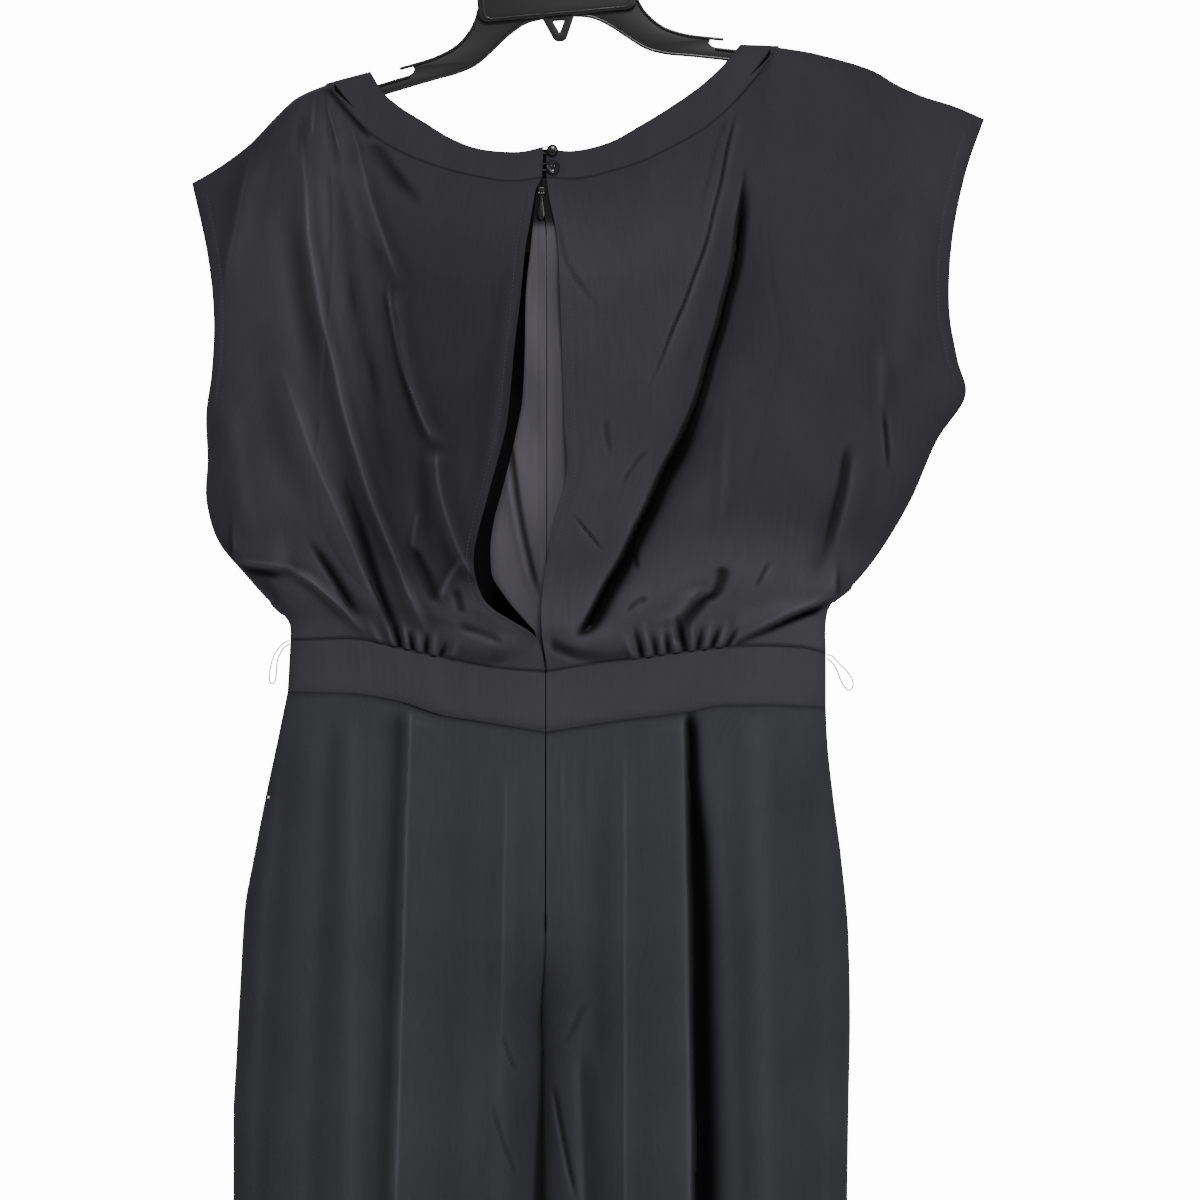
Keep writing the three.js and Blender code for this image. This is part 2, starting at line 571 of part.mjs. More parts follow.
function waistbandGeometry(halves, face) {
  const turn = face === "back" ? -1 : 1;
  const forms = Object.fromEntries(halves.map((half) => [half.sign, waistbandForm(half, face)]));
  const one = halves.length === 1;
  const signOf = (s) => (one ? halves[0].sign : s < 0 ? -1 : 1);
  const lines = RING_LINES;
  const columns = one ? lines : [...lines.slice(1).reverse().map((s) => -s), ...lines];
  const clear = (point, sign) => {
    if (one) point.x = sign < 0 ? Math.min(point.x, -BAND_END) : Math.max(point.x, BAND_END);
    return besideSeam(point, turn);
  };
  const inner = (s, t) => {
    const sign = signOf(s);
    const u = Math.abs(s);
    const normal = u === 1 ? new THREE.Vector3(sign, 0, 0) : outwardOf(forms[sign], u, t, turn);
    const point = forms[sign](u, t).addScaledVector(normal, -WALL);
    if (s === 0 && !one) point.x = 0;
    return clear(point, sign);
  };
  const outer = (s, t) => clear(forms[signOf(s)](Math.abs(s), t), signOf(s));
  return wallGeometry(columns, [0, 0.5, 1], outer, inner);
}

// Inner edge of a leg: the centre seam above the crotch, the inseam below it
const legInner = (z) => Math.min(LEG_GAP_START + LEG_GAP_SLOPE * Math.max(0, CROTCH_Z - z), LEG_GAP_MAX);

// Both inseams lean the same way, so that the right leg laps over the left one at the back
function legTwist(s, y, z) {
  const along = smooth((CROTCH_Z - z) / LEG_TWIST_RUN);
  return LEG_TWIST * along * smooth((0.3 - s) / 0.3) * Math.tanh(y / LEG_TWIST_DEPTH);
}

// A trouser panel: s from centre seam to side seam, t from the waistband to the hem
function trouserForm(half, face) {
  const turn = face === "back" ? -1 : 1;
  const rows = face === "back" ? FOLDS_TROUSER_BACK : FOLDS_TROUSER_FRONT;
  const folds = rows.filter((row) => row.x0 * half.sign > 0);
  const base = (s, t) => {
    const z = mix(ringSeam(half, "bandSeam", face, s).z - SEAM_GAP, HEM_Z, t);
    const side = readTable(half.trouserSide, "z", "x", z);
    const x = mix(half.sign * legInner(z), side, s);
    const depth = readTable(TROUSER_DEPTH, "z", face, z);
    const split = smooth((CROTCH_TOP - z) / (CROTCH_TOP - CROTCH_Z));
    const share = mix(ringShare(s, RING_POWER), ringShare(2 * s - 1, LEG_POWER), split);
    const y = turn * depth * share;
    return new THREE.Vector3(x + legTwist(s, y, z), y, z);
  };
  const outside = (s, t) => {
    const point = base(s, t);
    const centre = smooth(s / 0.05 + (point.z > CROTCH_TOP ? 1 : 0));
    const away = smooth((1 - s) / 0.06) * smooth(t / 0.012 + 0.15) * centre;
    point.y += turn * sumFolds(folds, [], point.x, point.z) * away;
    return point;
  };
  return { base, outside, turn };
}

const TROUSER_ROWS = [0, 0.03, 0.08, 0.13, 0.175, 0.21, 0.24, 0.265, 0.31, 0.4, 0.54, 0.7, 0.86, 1];

function trouserPanel(half, face) {
  const form = trouserForm(half, face);
  const clear = (point) => {
    if (point.z > CROTCH_Z) {
      point.x = half.sign < 0 ? Math.min(point.x, -HALF_SEAM) : Math.max(point.x, HALF_SEAM);
    }
    return besideSeam(point, form.turn);
  };
  const inner = (s, t) => {
    const point = form.outside(s, t);
    const below = point.z < CROTCH_Z;
    let normal = outwardOf(form.base, s, t, form.turn);
    if (s === 1) normal = new THREE.Vector3(half.sign, 0, 0);
    if (s === 0 && below) normal = new THREE.Vector3(-half.sign, 0, 0);
    if (s === 0 && !below) normal.x = 0;
    return clear(point.addScaledVector(normal.normalize(), -WALL));
  };
  const lines = [0, 0.006, 0.016, ...RING_LINES.slice(1)];
  return wallGeometry(lines, TROUSER_ROWS, (s, t) => clear(form.outside(s, t)), inner);
}

// Inner back panel from the zip line to its free edge under the outer panel
const underlayY = (x, z) =>
  -readTable(UNDERLAY_DEPTH, "z", "depth", z) * ringShare(x / UNDERLAY_HALF, RING_POWER);

function underlayPanel(side) {
  const sign = side === "left" ? -1 : 1;
  const at = (s, t) => {
    const z = mix(UNDERLAY_TOP, UNDERLAY_BOTTOM, t);
    const edge = readTable(UNDERLAY_EDGE, "z", side, z);
    const x = mix(readTable(ZIP_LINE, "z", "x", z) + sign * BAND_END, edge, s);
    return new THREE.Vector3(x, underlayY(x, z), z);
  };
  const inner = (s, t) => at(s, t).add(new THREE.Vector3(0, UNDERLAY_WALL, 0));
  const rows = gridLines([0, 0.8, 1], [10, 6]);
  return wallGeometry(gridLines([0, 1], [4]), rows, at, inner);
}

// Flat pocket bag that hangs from the side seam between front and back
const POCKET = { top: -604, bottom: -812, mouth: -735, width: 118, thick: 2.4, inset: 3.6 };

function pocketBag(half) {
  const seamX = (z) => readTable(half.trouserSide, "z", "x", z) - half.sign * POCKET.inset;
  const shape = new THREE.Shape();
  const lines = gridLines([POCKET.top, POCKET.mouth], [5]);
  shape.moveTo(seamX(POCKET.top), POCKET.top);
  for (const z of lines.slice(1)) shape.lineTo(seamX(z), z);
  const inner = seamX(POCKET.mouth) - half.sign * POCKET.width;
  shape.bezierCurveTo(seamX(POCKET.mouth), POCKET.bottom, inner, POCKET.bottom - 18, inner, POCKET.mouth - 10);
  shape.lineTo(seamX(POCKET.top) - half.sign * (POCKET.width - 46), POCKET.top);
  shape.closePath();
  const settings = { depth: POCKET.thick, bevelEnabled: false, curveSegments: 8 };
  const geometry = new THREE.ExtrudeGeometry(shape, settings);
  geometry.rotateX(Math.PI / 2);
  geometry.translate(0, POCKET.thick / 2, 0);
  return geometry;
}

// Hanger, drawn in its own frame: the hook's centre is its origin, and it tilts as one
const HANGER = {
  tilt: THREE.MathUtils.degToRad(5.2),
  hookInside: 18,
  wire: 3.5,
  blockHalf: 51,
  blockTop: -52,
  blockBottom: -94,
  blockDeep: 14,
  armDeep: 7,
  webDeep: 3,
  rib: 2,
};
const ARM_UPPER = table("x z", [
  [50, -84], [55, -93], [64, -104], [78, -111], [95, -116], [114, -119.5], [113.5, -121.3], [104.5, -119.8],
  [104.2, -123], [107.5, -125.4], [132, -130.5], [157, -136], [180, -142.5], [203, -149.9],
]);
const ARM_LOWER = table("x z", [
  [205.6, -153.4], [204, -157], [180, -151.5], [157, -145.5], [125, -138.8], [101, -135], [75, -130.5],
  [59, -125.5], [45, -118], [33, -106], [19, -99], [8, -95],
]);
const LOOP_OUTER = table("x z", [
  [-12, -93], [-4.5, -110], [-2, -111.5], [2, -111.5], [4.5, -110], [12, -93],
]);
const LOOP_HOLE = table("x z", [[-4, -97], [4, -97], [0, -105.5]]);

function toSolid(geometry) {
  const bare = geometry.clone();
  bare.deleteAttribute("normal");
  bare.deleteAttribute("uv");
  const merged = mergeVertices(bare, 1e-4);
  const mesh = new wasm.Mesh({
    numProp: 3,
    vertProperties: new Float32Array(merged.attributes.position.array),
    triVerts: new Uint32Array(merged.index.array),
  });
  return new wasm.Manifold(mesh);
}

function fromSolid(solid) {
  const mesh = solid.getMesh();
  const geometry = new THREE.BufferGeometry();
  geometry.setAttribute("position", new THREE.Float32BufferAttribute(mesh.vertProperties, 3));
  geometry.setIndex([...mesh.triVerts]);
  return geometry;
}

// A flat outline in the XZ plane, given its depth and centred on y = 0
function plate(points, depth, holes = []) {
  const shape = new THREE.Shape(points.map((row) => new THREE.Vector2(row.x, row.z)));
  for (const hole of holes) {
    shape.holes.push(new THREE.Path(hole.map((row) => new THREE.Vector2(row.x, row.z))));
  }
  const geometry = new THREE.ExtrudeGeometry(shape, { depth, bevelEnabled: false, curveSegments: 6 });
  geometry.rotateX(Math.PI / 2);
  geometry.translate(0, depth / 2, 0);
  return geometry;
}

// The strip of an edge line, as wide as a rib, to the right of its direction
function ribAlong(rows, width) {
  const inside = rows.map((row, i) => {
    const before = rows[Math.max(i - 1, 0)];
    const after = rows[Math.min(i + 1, rows.length - 1)];
    const length = Math.hypot(after.x - before.x, after.z - before.z);
    const across = { x: (after.z - before.z) / length, z: (before.x - after.x) / length };
    return { x: row.x + across.x * width, z: row.z + across.z * width };
  });
  return [...rows, ...inside.reverse()];
}

const mirrored = (rows) => rows.map((row) => ({ x: -row.x, z: row.z })).reverse();

function hangerBody() {
  const { blockHalf, blockTop, blockBottom, blockDeep, armDeep, webDeep, rib } = HANGER;
  const block = table("x z", [
    [-blockHalf + 9, blockTop], [blockHalf - 9, blockTop], [blockHalf, blockTop - 10], [blockHalf, blockBottom],
    [-blockHalf, blockBottom], [-blockHalf, blockTop - 10],
  ]);
  const arm = [...ARM_UPPER, ...ARM_LOWER, { x: 8, z: -84 }];
  const stretches = [
    ribAlong(ARM_UPPER.slice(0, 5), rib),
    ribAlong(ARM_UPPER.slice(9), rib),
    ribAlong(ARM_LOWER.slice(1), rib),
  ];
  const tip = table("x z", [[200, -149], [203, -150], [205.6, -153.4], [204, -157], [200, -155.8]]);
  const pieces = [
    plate(block, blockDeep),
    plate(LOOP_OUTER, armDeep, [LOOP_HOLE]),
    plate(arm, webDeep),
    plate(mirrored(arm), webDeep),
    plate(tip, armDeep),
    plate(mirrored(tip), armDeep),
    ...stretches.flatMap((rows) => [plate(rows, armDeep), plate(mirrored(rows), armDeep)]),
  ];
  return fromSolid(pieces.map(toSolid).reduce((whole, piece) => whole.add(piece)));
}

// Round section swept along a smooth line
function roundAlong(points, diameter, steps, sides, closed = false) {
  const section = new THREE.Shape();
  for (let i = 0; i < sides; i += 1) {
    const angle = (2 * Math.PI * i) / sides;
    section[i === 0 ? "moveTo" : "lineTo"]((diameter / 2) * Math.cos(angle), (diameter / 2) * Math.sin(angle));
  }
  section.closePath();
  const path = new THREE.CatmullRomCurve3(points, closed, "centripetal");
  return new THREE.ExtrudeGeometry(section, { steps, bevelEnabled: false, extrudePath: path });
}

function hangerHook() {
  const radius = HANGER.hookInside + HANGER.wire / 2;
  const points = [new THREE.Vector3(0, 0, HANGER.blockTop + SEAM_GAP), new THREE.Vector3(0, 0, -40)];
  points.push(new THREE.Vector3(1, 0, -30));
  for (let degrees = -55; degrees <= 205; degrees += 20) {
    const angle = THREE.MathUtils.degToRad(degrees);
    points.push(new THREE.Vector3(radius * Math.cos(angle), 0, radius * Math.sin(angle)));
  }
  return roundAlong(points, HANGER.wire, 46, 10);
}

// Invisible zip: closed coil behind the inner back, slider and pull between the slit edges
const SLIDER = {
  x: -3, z: -236, width: 4.4, height: 7.4, thick: 1.8, earThick: 0.8, earOut: 2.7, earHeight: 2.6, pin: 0.5,
  pinOut: 1.75, pinDrop: 0.6,
};
const CHAIN = { top: -242.5, bottom: -568.5, width: 2.6, thick: 1.1, cells: 14 };
const PULL = { eye: 1.35, hole: 0.85, thick: 1, half: 2.4, length: 18.5 };

function zipChain() {
  const at = (s, t) => {
    const z = mix(CHAIN.top, CHAIN.bottom, t);
    const x = readTable(ZIP_LINE, "z", "x", z) + (s - 0.5) * CHAIN.width;
    return new THREE.Vector3(x, underlayY(x, z) + UNDERLAY_WALL + SEAM_GAP, z);
  };
  const inner = (s, t) => at(s, t).add(new THREE.Vector3(0, CHAIN.thick, 0));
  return wallGeometry([0, 1], gridLines([0, 1], [CHAIN.cells]), at, inner);
}

const SLIDER_Y = underlayY(SLIDER.x, SLIDER.z) - SEAM_GAP;
const PIN_Y = SLIDER_Y - SLIDER.thick - SLIDER.pinOut;
const PIN_Z = SLIDER.z - SLIDER.pinDrop;

function box(width, depth, height, x, y, z) {
  const geometry = new THREE.BoxGeometry(width, depth, height);
  geometry.translate(x, y, z);
  return geometry;
}

function zipSlider() {
  const { x, z, width, height, thick, earThick, earOut, earHeight, pin } = SLIDER;
  const body = box(width, thick, height, x, SLIDER_Y - thick / 2, z);
  const earX = width / 2 - earThick / 2;
  const sunk = 0.4;
  const earY = SLIDER_Y - thick - earOut / 2 + sunk / 2;
  const ears = [-earX, earX].map((side) => box(earThick, earOut + sunk, earHeight, x + side, earY, PIN_Z));
  const bar = new THREE.CylinderGeometry(pin, pin, width - earThick, 10);
  bar.rotateZ(Math.PI / 2);
  bar.translate(x, PIN_Y, PIN_Z);
  return fromSolid([body, ...ears, bar].map(toSolid).reduce((whole, piece) => whole.add(piece)));
}

// Teardrop tab with an eye round the slider's pin; the eye's centre is the local origin
function zipPull() {
  const { eye, hole, thick, half, length } = PULL;
  const shape = new THREE.Shape();
  shape.moveTo(-0.75, 0.4);
  shape.bezierCurveTo(-0.75, -5, -half, -length + 8, -half, -length + 3.4);
  shape.bezierCurveTo(-half, -length - 1, half, -length - 1, half, -length + 3.4);
  shape.bezierCurveTo(half, -length + 8, 0.75, -5, 0.75, 0.4);
  shape.closePath();
  const blade = new THREE.ExtrudeGeometry(shape, { depth: thick, bevelEnabled: false, curveSegments: 8 });
  blade.rotateX(Math.PI / 2);
  blade.translate(0, thick / 2, 0);
  const barrel = new THREE.CylinderGeometry(eye, eye, 2 * 0.9, 14);
  barrel.rotateZ(Math.PI / 2);
  const bore = new THREE.CylinderGeometry(hole, hole, 4, 14);
  bore.rotateZ(Math.PI / 2);
  return fromSolid(toSolid(blade).add(toSolid(barrel)).subtract(toSolid(bore)));
}

// Small covered shank button, its axis along -Y
function shankButton(radius) {
  const profile = table("r y", [
    [0, 0], [1.1, 0], [1.1, 1.3], [0.72 * radius, 1.5], [radius, 2.6], [0.93 * radius, 3.9], [0.6 * radius, 4.9],
    [0, 5.3],
  ]);
  const points = profile.map((row) => new THREE.Vector2(row.r, row.y));
  const geometry = new THREE.LatheGeometry(points, 18);
  geometry.scale(1, -1, 1);
  return reorient(geometry);
}

// Turns a mirrored geometry's faces outward again
function reorient(geometry) {
  const bare = geometry.clone();
  bare.deleteAttribute("normal");
  bare.deleteAttribute("uv");
  const merged = mergeVertices(bare, 1e-4);
  const positions = [...merged.attributes.position.array];
  const index = [...merged.index.array].reduce((rows, value, i) => {
    if (i % 3 === 0) rows.push([]);
    rows.at(-1).push(value);
    return rows;
  }, []);
  const faces = index.filter(([a, b, c]) => a !== b && b !== c && c !== a).flat();
  merged.setIndex(signedVolume(positions, faces) < 0 ? flipped(faces) : faces);
  return merged;
}

const BUTTONS = table("name x z radius", [["upper", 4.6, -206.6, 4], ["lower", 5, -218.4, 4.8]]);
const bandShare = (z) => clamp((-204.5 - z) / 21, 0, 1);
const bandY = (z) => -mix(NECK_TOP_DEPTH, NECK_DEPTH, bandShare(z));
const bandEndX = (z) => mix(LEFT.neckTop[0].x, LEFT.neckSeam[0].x, bandShare(z));

// Thread loop from the left band's end round a button's shank
const LOOP = { wire: 1, round: 2.3, off: 0.85, clear: 0.45 };

function buttonLoop(row) {
  const y = bandY(row.z) - LOOP.off;
  const end = bandEndX(row.z) + LOOP.clear;
  const half = LOOP.round - 0.3;
  const points = [new THREE.Vector3(end, y + 0.2, row.z + half), new THREE.Vector3(0, y, row.z + LOOP.round)];
  for (let degrees = 80; degrees >= -80; degrees -= 40) {
    const angle = THREE.MathUtils.degToRad(degrees);
    const x = row.x + LOOP.round * Math.cos(angle);
    points.push(new THREE.Vector3(x, y, row.z + LOOP.round * Math.sin(angle)));
  }
  points.push(new THREE.Vector3(0, y, row.z - LOOP.round), new THREE.Vector3(end, y + 0.2, row.z - half));
  return roundAlong(points, LOOP.wire, 22, 6);
}

// Thread belt carriers: a free loop of thread at each end of the waist seam
const THREAD = 1.1;
const THREAD_LEFT = table("x y z", [
  [-179.5, -1.6, -548.4], [-182, -1.7, -549.2], [-186.3, -1.8, -552.7], [-190.1, -1.9, -558.5],
  [-192.8, -2, -567.1], [-193.5, -1.8, -573.5], [-193.1, -1.2, -577.4], [-191.4, -0.2, -578.9],
  [-189.6, 0.8, -576.3], [-188.7, 1.4, -569.7], [-188.3, 1.6, -563.5], [-186.6, 1.6, -558.4],
  [-183.6, 1.6, -553.6], [-179.5, 1.6, -550.6],
]);
const THREAD_RIGHT = table("x y z", [
  [196.6, -1.6, -558], [200.8, -1.7, -559.6], [205.1, -1.8, -564.5], [210.4, -1.9, -569.7],
  [214.2, -1.9, -575.2], [214.9, -1.4, -579.4], [213.6, -0.6, -582.6], [211.6, 0.4, -583.1],
  [208.8, 1.2, -580.5], [206.1, 1.6, -575.6], [203.6, 1.7, -569], [200.6, 1.7, -564.2], [196.6, 1.7, -561],
]);

function threadLoop(rows) {
  const points = rows.map((row) => new THREE.Vector3(row.x, row.y, row.z));
  return roundAlong(points, THREAD, 26, 8);
}

const CLOTH = { bodice: 0x343437, trousers: 0x3b3b3e, band: 0x3d3c41, underlay: 0x514f54 };
const cloth = (color) => new THREE.MeshStandardMaterial({ color, roughness: 0.85, metalness: 0 });
const plastic = new THREE.MeshStandardMaterial({ color: 0x313032, roughness: 0.35, metalness: 0 });
const steel = new THREE.MeshStandardMaterial({ color: 0x9a9a9c, roughness: 0.3, metalness: 1 });
const enamel = new THREE.MeshStandardMaterial({ color: 0x1b1b1d, roughness: 0.35, metalness: 0.3 });
const thread = new THREE.MeshStandardMaterial({ color: 0x77777a, roughness: 0.8, metalness: 0 });

function named(name, geometry, material) {
  const mesh = new THREE.Mesh(geometry, material);
  mesh.name = name;
  return mesh;
}

const jumpsuit = new THREE.Group();

const hanger = new THREE.Group();
hanger.position.set(0, 0, -HANGER.hookInside);
hanger.rotation.y = -HANGER.tilt;
hanger.add(named("hanger_body", hangerBody(), plastic), named("hanger_hook", hangerHook(), steel));
jumpsuit.add(hanger);

jumpsuit.add(named("bodice_front", bodiceFront(), cloth(CLOTH.bodice)));
jumpsuit.add(named("neckband_front", neckbandGeometry([LEFT, RIGHT], "front"), cloth(CLOTH.bodice)));
jumpsuit.add(named("waistband_front", waistbandGeometry([LEFT, RIGHT], "front"), cloth(CLOTH.band)));
for (const [side, half] of Object.entries({ left: LEFT, right: RIGHT })) {
  jumpsuit.add(named(`bodice_back_${side}`, bodiceBack(half), cloth(CLOTH.bodice)));
  jumpsuit.add(named(`underlay_${side}`, underlayPanel(side), cloth(CLOTH.underlay)));
  jumpsuit.add(named(`neckband_back_${side}`, neckbandGeometry([half], "back"), cloth(CLOTH.bodice)));
  jumpsuit.add(named(`waistband_back_${side}`, waistbandGeometry([half], "back"), cloth(CLOTH.band)));
  jumpsuit.add(named(`trouser_back_${side}`, trouserPanel(half, "back"), cloth(CLOTH.trousers)));
  jumpsuit.add(named(`trouser_front_${side}`, trouserPanel(half, "front"), cloth(CLOTH.trousers)));
  jumpsuit.add(named(`pocket_${side}`, pocketBag(half), cloth(CLOTH.trousers)));
}

jumpsuit.add(named("zip_chain", zipChain(), enamel), named("zip_slider", zipSlider(), enamel));
const pull = named("zip_pull", zipPull(), enamel);
pull.position.set(SLIDER.x, PIN_Y, PIN_Z);
jumpsuit.add(pull);

for (const row of BUTTONS) {
  const button = named(`button_${row.name}`, shankButton(row.radius), enamel);
  button.position.set(row.x, bandY(row.z) - SEAM_GAP, row.z);
  jumpsuit.add(button, named(`button_loop_${row.name}`, buttonLoop(row), thread));
}
jumpsuit.add(named("thread_loop_left", threadLoop(THREAD_LEFT), thread));
jumpsuit.add(named("thread_loop_right", threadLoop(THREAD_RIGHT), thread));

export default jumpsuit;
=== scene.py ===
# Black crepe jumpsuit on a moulded hanger, seen from the back.
# Forms are worked out in millimetres and written to meshes in metres.
import math

import bmesh
import bpy
import numpy as np
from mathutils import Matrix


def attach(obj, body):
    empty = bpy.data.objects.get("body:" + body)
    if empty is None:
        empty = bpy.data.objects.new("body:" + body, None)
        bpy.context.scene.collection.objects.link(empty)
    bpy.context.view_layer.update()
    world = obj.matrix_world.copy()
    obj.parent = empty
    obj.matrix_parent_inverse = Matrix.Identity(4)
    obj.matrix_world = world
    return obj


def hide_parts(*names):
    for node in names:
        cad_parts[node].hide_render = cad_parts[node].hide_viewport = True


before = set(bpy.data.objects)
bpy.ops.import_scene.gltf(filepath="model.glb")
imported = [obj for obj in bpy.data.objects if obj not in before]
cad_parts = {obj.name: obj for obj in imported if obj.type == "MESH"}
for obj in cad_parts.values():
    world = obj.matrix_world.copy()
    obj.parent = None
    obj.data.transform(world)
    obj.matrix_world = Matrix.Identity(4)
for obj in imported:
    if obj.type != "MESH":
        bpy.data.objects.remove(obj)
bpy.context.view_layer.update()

MM = 0.001
BODY = "garment"
CLOTH = 0.9
SEAM_GAP = 0.3
WAIST_DEPTH = 34
NECK_DEPTH = 30
NECK_TOP_DEPTH = 28
SHOULDER_ROLL = 0.2
BLOUSE = 40
ARMHOLE_OPEN = 14
FRONT_NECK_DROP = 25
FRONT_RAISE = 9
CROTCH_TOP = -752
CROTCH_Z = -836
HEM_Z = -1545
LEG_GAP_START = 0.45
LEG_GAP_SLOPE = 0.004
LEG_GAP_MAX = 0.7
SEAM_END = 6
SEAM_END_RUN = 8
LEG_TWIST = 5
LEG_TWIST_DEPTH = 12
SEAM_CLOSED = 0.01
CLOTH_CREASE = 48
SOLID_CREASE = 40
WELD = 1e-6
TINY = 1e-9
# Which way each face of the garment looks along y
TURN = {"back": -1, "front": 1}
RING_POWER = 2.4
NECK_POWER = 2.2
LEG_POWER = 2.2
CORNER_LAP = 0.03
CORNER_STEEP = 2.4
BAND_END = 0.35
UNDERLAY_HALF = 165
UNDERLAY_TOP = -226.2
UNDERLAY_BOTTOM = -569
SLIT_LIFT_LEFT = 5
SLIT_LIFT_RIGHT = -8
SLIT_LIFT_REACH = 0.2

# How folds fade at the edges of a panel, as shares of its width or length
TOP_FADE = 0.07
SIDE_FADE = 0.06
SEAM_FADE = 0.07
SEAM_KEPT = 0.25
LEG_TOP_FADE = 0.012
# Folds sway a little to the sides, and gathers stand proud of their drawn height
SWAY = 0.55
LEG_SWAY = 0.15
GATHER_STRENGTH = 1.45

# Painted light and shade in the colour of the cloth: folds deeper than DEEP are laps that keep the light out,
# and get painted shade
DEEP = -4
DEEP_SHADE = 4.5
DEEP_KEPT = 0.9
DARKEST = -5
PALEST = 1
SEAM_SHADE = 3
# Painted light on the lower part of the blouson, which faces down, and painted light and shade across each
# half of the bodice, at its middle and towards its side
LOW_GLOW = 3
LOW_GLOW_START = 0.74
LOW_GLOW_RUN = 0.14
CENTRE_GLOW = {"left": -1.5, "right": 1.1}
SIDE_GLOW = {"left": 1.3, "right": 0}
# Painted shade in the troughs of the gathers
GATHER_SHADE = 1.2
# Painted shade, flat: on the inner faces of the cloth, on cloth that lies in recesses, and on the neck facing
INSIDE_SHADE = -0.6
RECESS_SHADE = -2.6
FACING_SHADE = -3
# Painted highlight on the ridges of folds and painted shade in their creases, over a wide and a fine reach;
# the base colour is scaled by TONE_RANGE raised to this painted tone
TONE_WIDE = {"reach": 7.0, "up": 7.0, "down": 3.0}
TONE_FINE = {"reach": 2.2, "up": 1.7, "down": 1.7}
TONE_RANGE = 2.2
# Painted shade in a strip along the centre seam between the legs
LEG_SHADE = 3.2
LEG_SHADE_RUN = 110
LEG_SHADE_STRENGTH = 1.6
LEG_SHADE_TOP = {"back": -738, "front": CROTCH_Z}

# Turned hems
HEM_ARM = {"width": 7.0, "rise": 0.5, "groove": 0.45}
HEM_SLIT = {"width": 5.5, "rise": 0.45, "groove": 0.45}
HEM_LEG = {"width": 25.0, "rise": 0.5, "groove": 0.4}
HEM_STEP = {"past": 1, "run": 1.5, "groove": 0.9}

# Camera, in metres: the photograph's frame is 840 mm wide at the garment's mid plane
FRAME_WIDTH = 0.84
VIEW_X = 0.0378
VIEW_Z = -0.52
CAMERA_FAR = 6.0
SENSOR = 36.0
FLOOR_Z = -1.72
FLOOR_RADIUS = 1.5


def table(names, rows):
    """Rows with named columns, as arrays."""
    columns = np.array(rows, float).T
    return dict(zip(names.split(), columns))


# Outlines of the two halves, seen from the back
LEFT = {
    "sign": -1,
    "waist": 179,
    "band": 181,
    "neck_seam": table("x z", [
        (-2.6, -225.5), (-25, -228), (-60, -222), (-80, -216), (-103, -206.5), (-122, -194.5), (-140, -175),
        (-153, -158),
    ]),
    "neck_top": table("x z", [
        (-1.7, -204), (-18, -207.5), (-48, -205), (-68, -197), (-84, -187), (-100, -177), (-113, -166),
        (-123, -150),
    ]),
    "shoulder": table("x z", [
        (-153, -158), (-175, -168), (-189, -181), (-208, -201), (-231, -218), (-248, -228),
    ]),
    "armhole": table("x z", [(-248, -228), (-236, -282), (-232, -324), (-234, -362), (-238, -390)]),
    "side": table("x z", [
        (-238, -390), (-237, -422), (-238, -449), (-230, -478), (-211, -502), (-193, -522), (-180, -536),
        (-179, -548),
    ]),
    "slit": table("x z", [
        (-2.6, -225.5), (-6.5, -233), (-9, -245), (-11.5, -260), (-14, -274), (-17.5, -310), (-21.7, -345),
        (-24.9, -380), (-27.6, -401), (-33, -422), (-40.6, -450), (-45.5, -468), (-49.4, -486), (-49.2, -500),
        (-43, -519), (-36, -526.5), (-23.1, -534.7), (-9.1, -543.8), (-4, -551.5), (-1.5, -562), (-1, -570),
    ]),
    "waist_seam": table("u z", [(0, -570), (0.2, -567), (0.43, -559), (0.55, -554), (0.77, -547), (1, -548)]),
    "band_seam": table("u z", [(0, -612), (0.2, -606), (0.4, -600), (0.575, -590), (0.76, -585), (1, -584)]),
    "trouser_side": table("z x", [
        (-584, -181), (-618, -188), (-651, -195), (-702, -205), (-736, -211), (-786, -214), (-842, -217),
        (-884, -219), (-940, -219), (-1200, -216), (-1545, -210),
    ]),
}
RIGHT = {
    "sign": 1,
    "waist": 196,
    "band": 196,
    "neck_seam": table("x z", [
        (0.5, -225.5), (24, -226), (40, -222.5), (66, -214.5), (88, -204), (112, -190), (129, -175),
        (141, -161.5), (152, -148), (162, -132),
    ]),
    "neck_top": table("x z", [
        (0.5, -205), (18, -207), (44, -201), (66, -189), (87, -176), (108, -161), (124, -146), (136, -131),
    ]),
    "shoulder": table("x z", [
        (162, -132), (186, -136), (215.5, -144), (231, -150), (246, -159), (264, -167), (286, -174),
        (307, -183),
    ]),
    "armhole": table("x z", [(307, -183), (294, -220), (284, -268), (282, -317), (288, -352), (294, -376)]),
    "side": table("x z", [
        (294, -376), (274, -408), (255, -451), (232, -489), (213, -512), (199, -524), (196, -536),
        (196, -557),
    ]),
    "slit": table("x z", [
        (0.5, -225.5), (2.5, -240), (8, -268), (10, -310), (13, -394), (14, -436), (8, -456), (4, -476),
        (-1, -506), (-3, -528), (-2, -548), (0.2, -562), (1.2, -570),
    ]),
    "waist_seam": table("u z", [
        (0, -570), (0.18, -564), (0.32, -561), (0.46, -557), (0.65, -553), (0.77, -552), (0.9, -553),
        (1, -557),
    ]),
    "band_seam": table("u z", [(0, -612), (0.26, -604), (0.5, -598), (0.65, -593), (0.77, -593), (1, -595)]),
    "trouser_side": table("z x", [
        (-595, 196), (-618, 197), (-656, 201), (-702, 207), (-758, 212), (-814, 213), (-870, 212),
        (-940, 211), (-1200, 209), (-1545, 204),
    ]),
}
HALVES = {"left": LEFT, "right": RIGHT}

